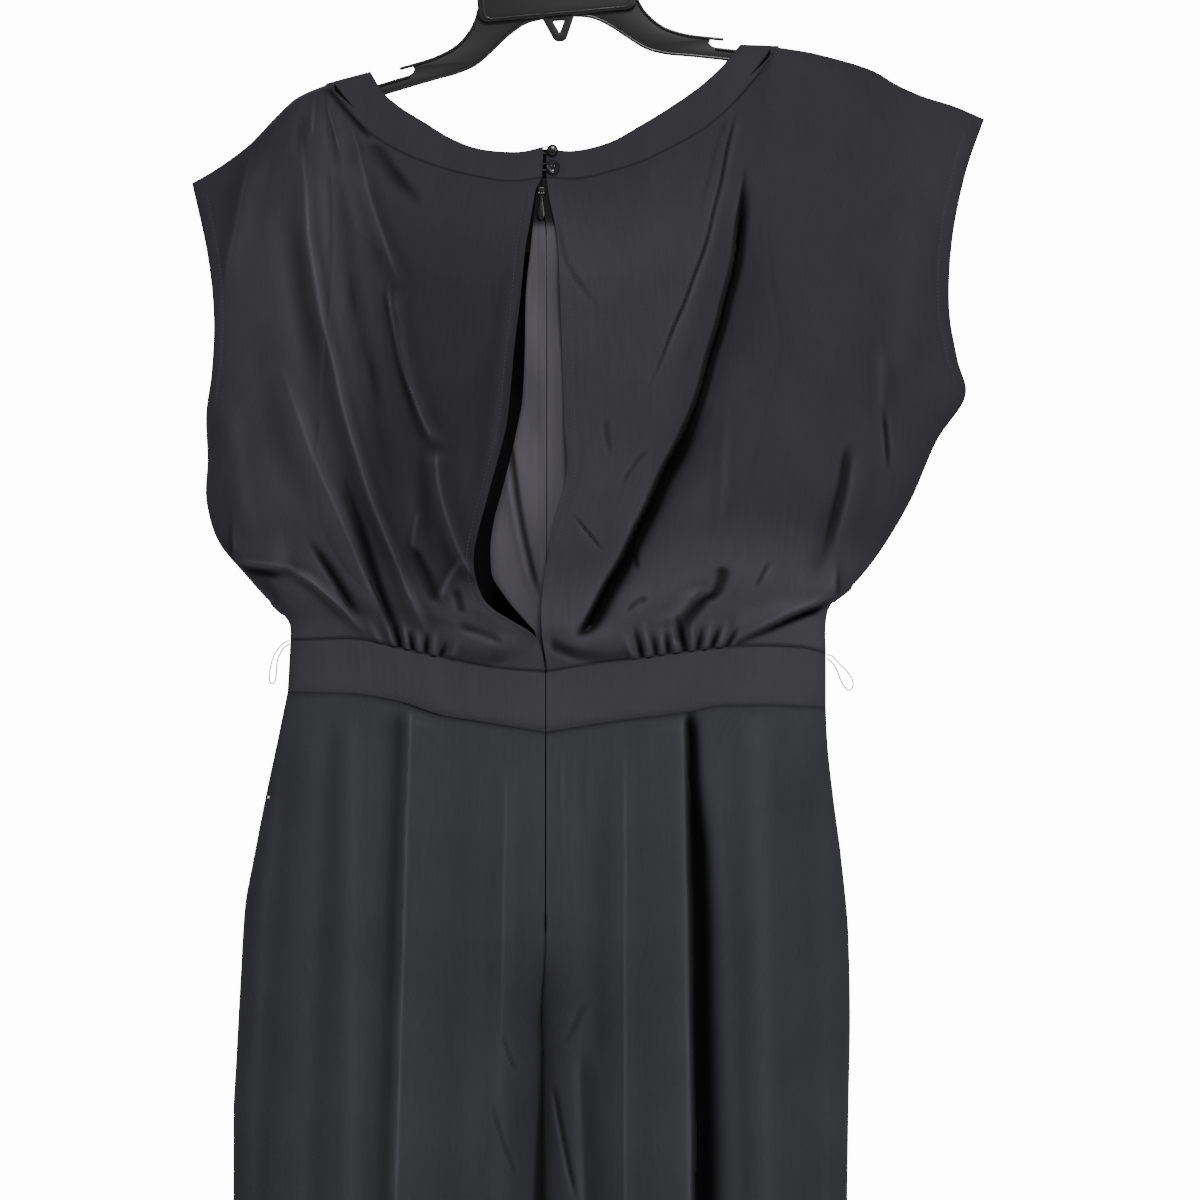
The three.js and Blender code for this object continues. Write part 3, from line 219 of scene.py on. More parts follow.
BODICE_DEPTH = table("t back front", [
    (0, 40, 38), (0.2, 44, 43), (0.45, 49, 50), (0.66, 56, 55), (0.8, 61, 58), (0.9, 56, 53), (0.96, 45, 44),
    (1, 34, 34),
])
TROUSER_DEPTH = table("z back front", [
    (-584, 34, 34), (-640, 41, 40), (-730, 51, 45), (-830, 52, 46), (-940, 48, 45), (-1200, 41, 40),
    (-1545, 35, 35),
])
UNDERLAY_DEPTH = table("z depth", [
    (-226, 27.6), (-262, 28.6), (-300, 30.5), (-380, 33.5), (-470, 36), (-530, 35), (-570, 30.5),
])
UNDERLAY_EDGE = table("z left right", [
    (-226, -5, 13), (-250, -8, 20), (-274, -10.5, 26), (-310, -14, 33), (-345, -14.6, 40), (-380, -16.2, 44),
    (-401, -20, 46), (-415, -23, 47), (-450, -32, 48), (-465, -36, 48), (-485, -38.5, 47), (-500, -37.8, 46),
    (-520, -26.6, 45), (-535, -14, 45), (-544, -7, 45), (-570, -6, 44),
])
ZIP_LINE = table("z x", [
    (-226, -3.2), (-245, -2.4), (-262, 0.2), (-300, 0.7), (-470, 0.7), (-530, 0.2), (-570, 0),
])

# A fold is a line through three places with its height, its reach to the left (or below) and to the
# right (or above) of the line, and the share of its length over which each end fades
FOLD = "x0 z0 xm zm x1 z1 height left right start end"
FOLDS = {
    "back_left": table(FOLD, [
        (-170.1, -198, -144.2, -369.5, -76.3, -556.4, 6.5, 7, 5, 0.25, 0.1),
        (-180.6, -219, -158.2, -380, -121.8, -492, -3, 8, 8, 0.3, 0.4),
        (-147, -198, -131.6, -338, -93.8, -492, -3.8, 8, 8, 0.2, 0.3),
        (-137.9, -285, -135.1, -311.4, -131, -338, -1.6, 3, 3, 0.5, 0.5),
        (-124.5, -338, -121.1, -366, -116.5, -394, -1.6, 3, 4, 0.5, 0.5),
        (-130.2, -205, -113.4, -271.5, -98.7, -304.4, 4.5, 7, 5, 0.3, 0.25),
        (-108.5, -301.6, -95.2, -369.5, -77, -415, 5, 4, 7, 0.15, 0.12),
        (-107.8, -301.6, -103.6, -325.4, -99.4, -343.6, -1.8, 2.2, 2, 0.45, 0.45),
        (-77.7, -412.9, -70, -460.5, -49, -507.4, 6.5, 7, 7, 0.12, 0.15),
        (-88.2, -425, -84.7, -464, -74.2, -505, -2.4, 6, 5, 0.45, 0.45),
        (-190.4, -341.5, -161, -418.5, -110.6, -548, 5.5, 14, 7, 0.3, 0.15),
        (-145, -420, -121.8, -495.5, -100.1, -553.6, -8, 3.6, 3.4, 0.5, 0.04),
        (-168, -474, -147.6, -504.6, -127, -540, -7, 2.6, 4, 0.4, 0.35),
        (-180.6, -494.8, -152.6, -515.8, -121.8, -548, 5, 5, 6, 0.2, 0.2),
        (-198.8, -194.5, -210, -250.5, -224, -318.4, 4.5, 8, 10, 0.3, 0.4),
        (-221.2, -369.5, -215.6, -422, -207.2, -481.5, 3, 9, 9, 0.3, 0.3),
        (-198.8, -310, -189.7, -394, -172.2, -464, -2, 12, 12, 0.3, 0.3),
        (-87.5, -455.6, -91, -474.5, -94.5, -493.4, 1.8, 2.5, 2.5, 0.3, 0.3),
        (-95.9, -480.1, -85.4, -500.4, -75.6, -525.6, -4.5, 4, 4, 0.2, 0.2),
        (-56, -489.2, -67.2, -504.6, -76.3, -525.6, 3, 3, 4, 0.3, 0.3),
        (-63, -510.2, -60.9, -521.4, -57.4, -531.9, -3, 3, 3, 0.3, 0.3),
        (-168.7, -170, -170.1, -189.6, -169.4, -218, -1.7, 4, 4, 0.45, 0.45),
        (-151.8, -176, -148.4, -199.4, -143, -228, -2.6, 3.6, 3.6, 0.45, 0.45),
        (-128.5, -172, -120.4, -191, -107, -216, -2.6, 5, 4, 0.45, 0.45),
        (-18.2, -268, -28, -345, -43.4, -464, 2, 6, 5, 0.3, 0.3),
        (-170.1, -150, -144.8, -369.5, -76.3, -556.4, 1.3, 2.2, 1.1, 0.3, 0.1),
        (-137.9, -170, -119, -250, -100, -304.4, 1.1, 2.2, 1.1, 0.2, 0.2),
        (-108.8, -295, -95.8, -369.5, -77, -413, 1.3, 1.8, 1.1, 0.15, 0.1),
        (-76.3, -413, -69, -460.5, -48, -507.4, 1.4, 1.2, 2, 0.1, 0.1),
        (-188, -345, -161, -418.5, -103, -551, 0.9, 2.4, 1.2, 0.3, 0.1),
        (-172, -500, -148, -520, -124, -546, 0.9, 1.4, 1.8, 0.2, 0.2),
        (-112, -302, -103.6, -345, -90, -400, -2.8, 3, 3, 0.2, 0.3),
        (-152, -196, -137, -290, -115, -400, -1.6, 7, 7, 0.2, 0.3),
        (-203, -182, -212, -240, -229, -318, 0.8, 2.4, 1.6, 0.3, 0.3),
        (-160, -200, -150, -300, -130, -420, 1.2, 6, 6, 0.3, 0.3),
        (-121, -197, -106, -222, -84, -250, -3.6, 8, 5, 0.15, 0.5),
        (-152, -172, -148, -190, -143, -212, 1.3, 1.4, 1.2, 0.2, 0.3),
        (-160, -160, -162, -178, -163, -200, 1.3, 1.4, 1.2, 0.2, 0.3),
        (-137, -178, -133, -196, -127, -215, 1.1, 1.4, 1.2, 0.2, 0.3),
    ]),
    "back_right": table(FOLD, [
        (136.5, -222, 120, -319, 87.5, -420, 2.2, 24, 1.6, 0.15, 0.2),
        (103, -380, 60, -471, 19.5, -548, 2.2, 24, 1.6, 0.238, 0.08),
        (139.5, -222, 123, -319, 90.5, -420, -14, 2, 4.2, 0.32, 0.2),
        (106.3, -380, 63, -471, 22.5, -548, -14, 2.4, 6, 0.238, 0.08),
        (112, -380, 72, -465, 26, -549, -3.9, 5, 15, 0.3, 0.15),
        (128, -205, 112, -300, 80, -400, -1.2, 7, 7, 0.3, 0.3),
        (144.2, -243.5, 112, -394, 32.2, -549.4, -3.5, 7, 16, 0.2, 0.2),
        (131.6, -173.5, 112.7, -264.5, 65.8, -382.1, -1.8, 1, 1.3, 0.1, 0.25),
        (134, -173.5, 115.2, -264.5, 68, -382.1, 1.1, 1.2, 4, 0.1, 0.3),
        (235.2, -383, 237.3, -408, 239.4, -432, -2.6, 1.2, 2.2, 0.35, 0.35),
        (231.7, -338, 233.1, -369.5, 233.8, -401, 1.8, 5, 4, 0.4, 0.4),
        (211, -410, 200.2, -458.4, 190.4, -510, -4.2, 1.5, 4, 0.15, 0.45),
        (217.7, -411.5, 208.6, -457, 200.2, -493.4, 2.6, 3, 10, 0.3, 0.4),
        (202.3, -436, 193.2, -478, 186.2, -513, -2, 9, 4, 0.4, 0.3),
        (156.8, -492, 151.2, -501.8, 144.9, -513, -1.6, 2, 2, 0.3, 0.3),
        (121.8, -496.2, 121.1, -507.4, 112.7, -521.4, -6, 3, 4, 0.2, 0.2),
        (116.9, -513.7, 105.7, -524.2, 92.4, -550.8, -7, 4, 4, 0.2, 0.08),
        (108.5, -508.1, 98, -520, 85.4, -539.6, 3.5, 7, 4, 0.3, 0.3),
        (18, -459, 28, -472.5, 39.2, -485.7, -2.2, 1, 1.4, 0.4, 0.3),
        (42, -392.6, 43.4, -404.5, 45.5, -419.2, -1.2, 2, 2, 0.3, 0.3),
        (72.8, -413.6, 63, -425.5, 51.8, -441.6, -1.2, 2, 2, 0.3, 0.3),
        (60.9, -480.1, 61.6, -489.9, 63, -500.4, -2.8, 2, 2, 0.3, 0.3),
        (8.4, -250.5, 15.4, -283.4, 37.8, -318.4, -1, 3, 3, 0.3, 0.3),
        (177.8, -205, 186.2, -345, 149.8, -492, 3.5, 30, 30, 0.4, 0.3),
        (251.3, -233, 251.3, -310, 233.8, -380, 2.5, 14, 14, 0.3, 0.3),
        (126, -376.5, 123.9, -429, 122.5, -481.5, 1.3, 4, 4, 0.3, 0.3),
    ]),
    "front": table(FOLD, [
        (-170, -240, -150, -400, -108, -545, 6, 15, 12, 0.3, 0.25),
        (-125, -262, -98, -390, -84, -540, 7, 12, 16, 0.35, 0.25),
        (-205, -260, -196, -380, -150, -505, 4, 16, 16, 0.4, 0.4),
        (-146, -250, -124, -380, -96, -540, -5, 9, 9, 0.3, 0.25),
        (140, -230, 118, -380, 76, -543, 7, 18, 10, 0.3, 0.25),
        (190, -235, 168, -380, 113, -543, 6, 14, 16, 0.35, 0.25),
        (240, -270, 226, -370, 180, -500, 4, 18, 14, 0.4, 0.4),
        (-30, -330, -34, -430, -60, -535, 3, 16, 16, 0.5, 0.3),
        (26, -320, 34, -430, 64, -535, 3, 16, 16, 0.5, 0.3),
    ]),
    "trouser_back": table(FOLD, [
        (-94.5, -590, -98.7, -730, -119.7, -1600, 4.5, 5, 18, 0.01, 0.02),
        (-93.8, -590, -98, -730, -119, -1600, 1.1, 1.3, 1.6, 0.01, 0.02),
        (-105.7, -594.2, -110.6, -730, -137.2, -1600, -3.2, 12, 7, 0.02, 0.02),
        (-135.8, -583, -135.8, -695, -151.2, -1600, 2.6, 9, 9, 0.05, 0.05),
        (-148.4, -586.5, -152.6, -695, -172.2, -1600, -2, 9, 9, 0.05, 0.05),
        (-175, -590, -183.4, -695, -198.8, -1600, -1.5, 10, 10, 0.05, 0.1),
        (-191.8, -632, -198.8, -716, -207.2, -1600, 1.8, 8, 10, 0.1, 0.1),
        (-25.2, -621.5, -28, -751, -32.2, -1150, 2, 8, 8, 0.1, 0.4),
        (-27, -621.5, -29, -720, -31, -860, 0.7, 1.3, 1.3, 0.2, 0.4),
        (-29.4, -821.7, -25.9, -835, -19.6, -849, -1.3, 1.4, 2, 0.3, 0.3),
        (-37.8, -868.6, -30.8, -894.5, -19.6, -923.9, -1.3, 1.4, 2.4, 0.3, 0.3),
        (-58.8, -611, -61.6, -730, -70.7, -1360, -3, 16, 16, 0.1, 0.2),
        (12, -618, 11.6, -645, 12, -680, 0.8, 1.4, 2, 0.5, 0.5),
        (26.6, -612, 26, -650, 27, -700, -0.5, 4, 4, 0.5, 0.5),
        (55.3, -611, 55, -740, 62, -1600, 1.8, 8, 9, 0.05, 0.05),
        (55.3, -611, 55, -740, 62, -1600, 0.9, 1.3, 1.5, 0.05, 0.3),
        (37.8, -625, 36.4, -730, 46.2, -1360, -2.8, 12, 10, 0.1, 0.3),
        (94.6, -591.4, 98.9, -840, 100.5, -1600, 3.2, 22, 1.8, 0.01, 0.02),
        (99.6, -593, 104.2, -840, 106, -1600, -9, 2, 4, 0.03, 0.02),
        (104, -630, 109, -840, 111.4, -1600, -8, 3, 6.5, 0.08, 0.02),
        (110, -640, 116.5, -840, 120, -1600, -3.8, 8, 20, 0.15, 0.02),
        (128, -653, 134, -765, 150, -1600, -1.5, 8, 14, 0.05, 0.05),
        (147.7, -590, 149.8, -709, 153.3, -1600, 4.5, 12, 12, 0.03, 0.05),
        (182, -625, 183.4, -730, 186.2, -1600, -2.5, 14, 14, 0.05, 0.05),
        (25.2, -825, 28, -880, 30.8, -1150, -3.2, 4, 9, 0.1, 0.4),
        (4.9, -854.6, 12, -894.5, 23, -945.6, -2.6, 1.4, 2.4, 0.2, 0.3),
        (28, -796, 18.9, -818.2, 9.8, -834, -1.5, 2.6, 3.6, 0.4, 0.4),
    ]),
    "trouser_front": table(FOLD, [
        (-98, -598, -104, -740, -114, -1600, 8, 14, 10, 0.02, 0.02),
        (-112, -604, -124, -760, -138, -1600, -5, 10, 10, 0.05, 0.02),
        (-60, -610, -62, -740, -74, -1500, 4, 13, 13, 0.1, 0.2),
        (-150, -650, -156, -800, -174, -1600, 4, 14, 14, 0.15, 0.05),
        (100, -598, 106, -740, 114, -1600, 8, 10, 14, 0.02, 0.02),
        (86, -604, 90, -760, 96, -1600, -5, 10, 8, 0.05, 0.02),
        (58, -612, 60, -740, 68, -1500, 4, 13, 13, 0.1, 0.2),
        (154, -650, 160, -800, 172, -1600, 4, 14, 14, 0.15, 0.05),
    ]),
}
CRESTS = {
    "back_left": table(FOLD, [
        (-219.8, -492.7, -197.4, -494.8, -172.2, -499, 7, 3, 18, 0.05, 0.4),
        (-219.8, -492, -197.4, -494, -172.2, -498, 1.3, 1, 2.2, 0.05, 0.2),
        (-221, -496.5, -200, -498.5, -183, -501, -5, 3.5, 1.6, 0.1, 0.3),
        (-217, -502.5, -198.8, -513, -180.6, -528.4, -5, 6, 8, 0.2, 0.3),
        (-63, -536.1, -46.2, -542.4, -28, -550.8, -2.8, 3, 3, 0.25, 0.25),
        (-75.6, -559.9, -50.4, -564.8, -22.4, -560.6, -5.5, 2.5, 4.5, 0.12, 0.3),
        (-84.7, -543.8, -53.2, -552.2, -9.8, -548.7, 5, 7, 11, 0.3, 0.3),
    ]),
    "back_right": table(FOLD, [
        (127.4, -551.5, 158.2, -534.7, 204.4, -516.5, 7, 3, 14, 0.12, 0.05),
        (127.4, -551, 158.2, -534, 204.4, -515.8, 1.3, 1, 2.2, 0.12, 0.05),
        (128, -555, 160.3, -538.2, 204.4, -519.5, -8, 3, 2, 0.1, 0.05),
        (2.1, -551.5, 32.2, -563.4, 68.6, -556.4, -6, 2.5, 4.5, 0.08, 0.2),
        (2.1, -543.8, 32.2, -555, 68.6, -548, 5, 4, 12, 0.3, 0.3),
        (54.6, -529.1, 63, -522.1, 72.8, -518.6, -2.2, 2.5, 2.5, 0.3, 0.3),
    ]),
}
# Painted shade lines, in deep laps of the cloth and along the neck seam: only their shade is drawn, not their
# form
SHADE_LINES = {
    "back_left": table(FOLD, [
        (-152, -161.5, -136.5, -180, -119.5, -200, -8, 3, 1.6, 0.1, 0.2),
        (-119, -200, -104, -222, -84, -248, -3, 7, 4, 0.1, 0.6),
    ]),
    "back_right": table(FOLD, [
        (127, -178, 117.5, -212, 106, -258, -1.2, 1.2, 1.2, 0.2, 0.4),
        (140, -216, 136.5, -240, 131, -275, -9, 1.3, 1.8, 0.5, 0.3),
        (138.8, -228, 123, -319, 90.5, -420, -20, 2, 3.2, 0.35, 0.2),
        (107, -380, 64.5, -471, 24, -548, -22, 2.6, 6.8, 0.24, 0.12),
        (136, -228, 118, -330, 60, -500, -1.8, 10, 26, 0.3, 0.3),
        (13.6, -436, 13.8, -418, 12.6, -398, -3, 1, 1.4, 0.3, 0.5),
    ]),
    "trouser_back": table(FOLD, [
        (99.6, -600, 103.8, -840, 105.6, -1600, -14, 1.2, 2.2, 0.05, 0.02),
        (103, -640, 108, -840, 110.4, -1600, -22, 3.2, 4.4, 0.07, 0.02),
        (106, -640, 113, -840, 116, -1600, -5.5, 3, 9, 0.1, 0.02),
        (99.5, -592, 101.5, -650, 103.5, -760, -12, 1.4, 5.5, 0.1, 0.4),
    ]),
}
GATHER = "x lean rise height reach"
GATHERS = {
    "back": table(GATHER, [
        (-106.4, -6, 24, 3, 2.4), (-101.5, -5, 20, -4.5, 1.8), (-96.6, -3, 22, 3.4, 2.2),
        (-92.4, -3, 16, -3.5, 1.7), (-88.2, -1, 20, 3.2, 2.2), (-83.3, 1, 18, -4, 1.8),
        (-78.4, 2, 22, 3, 2.4), (-73.5, 5, 14, -3, 1.8), (-66, 6, 18, 2, 3), (-116, -8, 18, 1.8, 3.4),
        (61, -7, 22, 2.4, 2.8), (67.2, -6, 26, -4.5, 1.9), (72.1, -5, 30, 3.6, 2.2), (77, -3, 20, -3, 1.7),
        (81.2, -1, 22, 3, 2.2), (85.4, -2, 18, -3.6, 1.8), (91, -4, 26, 3.4, 2.4), (97.3, -7, 32, -5, 2.2),
        (101.5, 1, 24, 3.4, 2), (105.7, 4, 20, -3.6, 1.7), (110.6, 6, 22, 3.2, 2.3),
        (115.5, 7, 18, -3.8, 1.8), (120.4, 7, 20, 2.8, 2.4), (126, 9, 16, -3, 1.9),
    ]),
    "front": table(GATHER, [
        (-118, -8, 32, 3, 3.4), (-107, -5, 42, 3.8, 3.2), (-95, -3, 30, 3.2, 3), (-84, 3, 38, 3.6, 3.2),
        (-71, 5, 28, 2.8, 3), (-58, 3, 24, 2.4, 3.6), (62, -4, 26, 2.8, 3.4), (75, -3, 36, 3.4, 3),
        (88, 2, 30, 3, 3), (100, 6, 44, 3.8, 3.2), (113, 8, 30, 3.2, 3), (126, 9, 26, 2.6, 3.4),
    ]),
}


def mix(a, b, k):
    return a + (b - a) * k


def smooth(value):
    k = np.clip(value, 0, 1)
    return k * k * (3 - 2 * k)


def ridge(distance, reach):
    """A rounded ridge, 1 high at distance 0."""
    return np.exp(-((distance / reach) ** 2))


def read_table(rows, key, column, at):
    """Smooth value from a table: its slope is 0 at a peak and the harmonic mean elsewhere."""
    xs, ys = rows[key], rows[column]
    if xs[-1] < xs[0]:
        xs, ys = xs[::-1], ys[::-1]
    slopes = np.diff(ys) / np.diff(xs)
    before, after = slopes[:-1], slopes[1:]
    same = before * after > 0
    inner = np.where(same, 2 * before * after / np.where(same, before + after, 1), 0)
    tangents = np.concatenate([slopes[:1], inner, slopes[-1:]])
    x = np.clip(np.asarray(at, float), xs[0], xs[-1])
    i = np.clip(np.searchsorted(xs, x, side="right") - 1, 0, len(xs) - 2)
    span = xs[i + 1] - xs[i]
    k = (x - xs[i]) / span
    k2, k3 = k * k, k * k * k
    low = (2 * k3 - 3 * k2 + 1) * ys[i] + (k3 - 2 * k2 + k) * span * tangents[i]
    return low + (-2 * k3 + 3 * k2) * ys[i + 1] + (k3 - k2) * span * tangents[i + 1]


class Curve:
    """A smooth line through points, read by share of its length."""

    def __init__(self, points, steps=48):
        points = np.asarray(points, float)
        ends = [2 * points[0] - points[1], *points, 2 * points[-1] - points[-2]]
        fine = [points[0]]
        shares = np.linspace(0, 1, steps + 1)[1:, None]
        for p0, p1, p2, p3 in zip(ends, ends[1:], ends[2:], ends[3:]):
            d0, d1, d2 = (math.sqrt(np.linalg.norm(b - a)) for a, b in ((p0, p1), (p1, p2), (p2, p3)))
            out = ((p1 - p0) / d0 - (p2 - p0) / (d0 + d1) + (p2 - p1) / d1) * d1
            into = ((p2 - p1) / d1 - (p3 - p1) / (d1 + d2) + (p3 - p2) / d2) * d1
            k = shares
            fine.extend(
                (2 * k**3 - 3 * k**2 + 1) * p1 + (k**3 - 2 * k**2 + k) * out
                + (3 * k**2 - 2 * k**3) * p2 + (k**3 - k**2) * into
            )
        self.points = np.array(fine)
        steps_along = np.linalg.norm(np.diff(self.points, axis=0), axis=1)
        self.along = np.concatenate([[0], np.cumsum(steps_along)])
        self.length = self.along[-1]

    def at(self, share):
        where = np.clip(share, 0, 1) * self.length
        return np.stack([np.interp(where, self.along, column) for column in self.points.T], -1)

    def tangent(self, share):
        step = 1e-3
        way = self.at(np.minimum(share + step, 1)) - self.at(np.maximum(share - step, 0))
        return way / np.linalg.norm(way, axis=-1, keepdims=True)


def plane_curve(rows):
    return Curve(np.stack([rows["x"], np.zeros_like(rows["x"]), rows["z"]], -1))


def ring_share(u, power):
    return np.sqrt(np.maximum(0, 1 - np.clip(np.abs(u), 0, 1) ** power))


def fold_height(rows, x, z, upright=True, sway=SWAY):
    """Height of all folds of a table at places x, z; upright folds run along z, crests along x."""
    total = np.zeros_like(x)
    run, cross = (z, x) if upright else (x, z)
    r, c = ("z", "x") if upright else ("x", "z")
    aside = sway * (np.sin(run / 19 + cross / 31) + 0.6 * np.sin(run / 8.3 + cross / 12))
    for i in range(len(rows["height"])):
        row = {key: values[i] for key, values in rows.items()}
        share = (run - row[r + "0"]) / (row[r + "1"] - row[r + "0"])
        middle = (row[r + "m"] - row[r + "0"]) / (row[r + "1"] - row[r + "0"])
        bow = row[c + "m"] - mix(row[c + "0"], row[c + "1"], middle)
        line = mix(row[c + "0"], row[c + "1"], share) + bow * share * (1 - share) / (middle * (1 - middle))
        line += aside
        reach = np.where(cross < line, row["left"], row["right"])
        fade = smooth(share / row["start"]) * smooth((1 - share) / row["end"])
        total += row["height"] * fade * ridge(cross - line, reach)
    return total


def gather_height(rows, x, above, sign):
    total = np.zeros_like(x)
    for i in range(len(rows["x"])):
        row = {key: values[i] for key, values in rows.items()}
        if row["x"] * sign < 0:
            continue
        share = np.maximum(above / row["rise"], 0)
        fade = smooth(1 - share) * (0.45 + 0.55 * smooth(share / 0.25))
        line = row["x"] + row["lean"] * share
        total += row["height"] * fade * ridge(x - line, row["reach"])
    return total


def deep_rows(rows):
    deep = rows["height"] <= DEEP
    return {key: values[deep] for key, values in rows.items()}


def ring_seam(half, seam, face, u):
    """A point of the waist seam or of the waistband's lower seam, as x and z."""
    lift = 0 if face == "back" else FRONT_RAISE * (1 - u * u)
    width = half["waist"] if seam == "waist_seam" else half["band"]
    return half["sign"] * width * u, read_table(half[seam], "u", "z", u) + lift


def front_neck(rows, drop=FRONT_NECK_DROP):
    """Neckline of the front: the back's line, dropped towards the middle."""
    u = rows["x"] / rows["x"][-1]
    u[0] = 0
    x = rows["x"].copy()
    x[0] = 0
    return {"x": x, "z": rows["z"] - drop * (1 - np.abs(u) ** 3)}


class Bodice:
    """The form of one half of the bodice: s from centre to side, t from shoulder to waist seam."""

    def __init__(self, half, face):
        self.half, self.face = half, face
        self.back = face == "back"
        self.turn = TURN[face]
        seam_rows = half["neck_seam"] if self.back else front_neck(half["neck_seam"])
        self.neck = plane_curve(seam_rows)
        self.shoulder = plane_curve(half["shoulder"])
        self.arm = plane_curve(half["armhole"])
        outer = {key: np.concatenate([half["armhole"][key], half["side"][key][1:]]) for key in "xz"}
        self.outer = plane_curve(outer)
        self.neck_share = self.neck.length / (self.neck.length + self.shoulder.length)
        self.arm_share = self.arm.length / self.outer.length
        low = self.seam(np.zeros(1))[0]
        start = self.neck.at(np.zeros(1))[0]
        centre = {"x": np.zeros(3), "z": np.array([start[2], -400, low[2]])}
        self.centre = plane_curve(half["slit"] if self.back else centre)
        self.first_row = SEAM_GAP / self.centre.length
        self.side = "left" if half["sign"] < 0 else "right"
        self.folds = FOLDS[f"back_{self.side}" if self.back else "front"]
        self.crests = CRESTS[f"back_{self.side}"] if self.back else None

    def seam(self, s):
        x, z = ring_seam(self.half, "waist_seam", self.face, s)
        return np.stack([x, np.zeros_like(x), z], -1)

    def top(self, s):
        on_neck = self.neck.at(np.clip(s / self.neck_share, 0, 1))
        on_shoulder = self.shoulder.at(np.clip((s - self.neck_share) / (1 - self.neck_share), 0, 1))
        return np.where((s < self.neck_share)[..., None], on_neck, on_shoulder)

    def plan(self, s, t):
        """Coons patch between the four outlines."""
        zero, one = np.zeros_like(s), np.ones_like(s)
        k, m = s[..., None], t[..., None]
        point = self.top(s) * (1 - m) + self.seam(s) * m
        point += self.centre.at(t) * (1 - k) + self.outer.at(t) * k
        point -= (1 - k) * (1 - m) * self.top(zero) + k * (1 - m) * self.top(one)
        point -= (1 - k) * m * self.seam(zero) + k * m * self.seam(one)
        return point

    def base(self, s, t):
        share = s / self.neck_share
        steep = mix(1, CORNER_STEEP, smooth(1.6 - np.abs(share - 1) * 4))
        point = self.plan(s, mix(steep * self.first_row, 1 - self.first_row, t))
        roll = np.clip(t / SHOULDER_ROLL, 0, 1)
        round_over = np.sqrt(1 - (1 - roll) ** 2)
        rise = mix(smooth(roll / 2) * 2, round_over, smooth((share - 0.55) / 0.45))
        neck_depth = NECK_DEPTH * ring_share(np.clip(share, 0, 1), NECK_POWER)
        top_depth = np.where(s < self.neck_share, neck_depth, 0)
        arm = np.where(t < self.arm_share, ARMHOLE_OPEN * np.sin(math.pi * t / self.arm_share), 0)
        body = mix(arm, read_table(BODICE_DEPTH, "t", self.face, t), ring_share(s, RING_POWER))
        point[..., 1] = self.turn * mix(top_depth, body, np.minimum(rise, 1))
        return point

    def deep(self, x, z):
        """How deep the steep laps are, where little light gets in."""
        total = fold_height(deep_rows(self.folds), x, z)
        if self.back:
            total += fold_height(deep_rows(self.crests), x, z, upright=False)
        return total

    def slit_lift(self, s, t):
        along = smooth((t - 0.12) / 0.3) * smooth((0.97 - t) / 0.15)
        lift = SLIT_LIFT_LEFT if self.half["sign"] < 0 else SLIT_LIFT_RIGHT
        return lift * along * ridge(s, SLIT_LIFT_REACH)

    def outside(self, s, t):
        point = self.base(s, t)
        x, z = point[..., 0], point[..., 2]
        inward = smooth((1 - s) / SIDE_FADE)
        away = smooth(t / TOP_FADE) * inward * mix(1, SEAM_KEPT, smooth((t - 1 + SEAM_FADE) / SEAM_FADE))
        height = fold_height(self.folds, x, z)
        if self.back:
            height += fold_height(self.crests, x, z, upright=False)
        above = z - self.seam(s)[..., 2]
        gathers = gather_height(GATHERS[self.face], x, above, self.half["sign"])
        lift = height * away + GATHER_STRENGTH * gathers * inward
        # Painted light and shade for the tone attribute: shade in the deep laps, with the painted highlight
        # held off their edges, slow painted light and shade over the panel, and at the back painted shade
        # lines and painted shade in the gathers' troughs
        deep = self.deep(x, z) * away
        self.lift = lift - DEEP_KEPT * deep
        self.shade = deep + self.glow(s, t)
        if self.back:
            self.shade += fold_height(SHADE_LINES[f"back_{self.side}"], x, z)
            self.shade += GATHER_SHADE * np.minimum(gathers, 0)
            lift += self.slit_lift(s, t)
        point[..., 1] += self.turn * (lift + self.hems(s, t))
        return point

    def glow(self, s, t):
        """Painted light and shade that change slowly over the panel, and painted shade along its seams."""
        low = LOW_GLOW * smooth((t - LOW_GLOW_START) / LOW_GLOW_RUN)
        upper = smooth(t / 0.2) * smooth((0.86 - t) / 0.14)
        across = mix(CENTRE_GLOW[self.side], SIDE_GLOW[self.side], smooth((s - 0.3) / 0.25))
        seams = smooth((t - 0.994) / 0.004) + (s < self.neck_share) * smooth(1 - t / 0.003)
        return low + upper * across - SEAM_SHADE * seams

    def width(self):
        """Mean width of the panel, to turn a share across it into a length."""
        return abs(self.seam(np.ones(1))[0, 0]) + BLOUSE

    def hems(self, s, t):
        """The turned hem of the armhole and of the slit, with the groove of its stitching."""
        near = smooth((self.arm_share * 1.02 - t) / 0.05) * smooth(t / 0.05)
        hem = near * hem_profile((1 - s) * self.width(), HEM_ARM)
        if self.back:
            ends = smooth(t / 0.03) * smooth((0.97 - t) / 0.05)
            hem = hem + hem_profile(s * self.width(), HEM_SLIT) * ends
        return hem

    def normals(self, s, t):
        normal = form_normals(self.base, s, t, self.turn)
        edge = s >= 1 - TINY
        side = edge_normals(self.outer, t, self.half["sign"])
        top_row = (t <= TINY) & (s > self.neck_share)
        beyond = np.clip((s - self.neck_share) / (1 - self.neck_share), 0, 1)
        over = edge_normals(self.shoulder, beyond, 0)
        normal = np.where(top_row[..., None], over, normal)
        corner = over + side
        corner /= np.linalg.norm(corner, axis=-1, keepdims=True)
        return np.where(edge[..., None], np.where(top_row[..., None], corner, side), normal)


def hem_profile(distance, hem):
    """A turned hem stands a little proud up to its row of stitches, which pulls the cloth in."""
    proud = hem["rise"] * smooth((hem["width"] + HEM_STEP["past"] - distance) / HEM_STEP["run"])
    groove = hem["groove"] * ridge(distance - hem["width"], HEM_STEP["groove"])
    return proud - groove


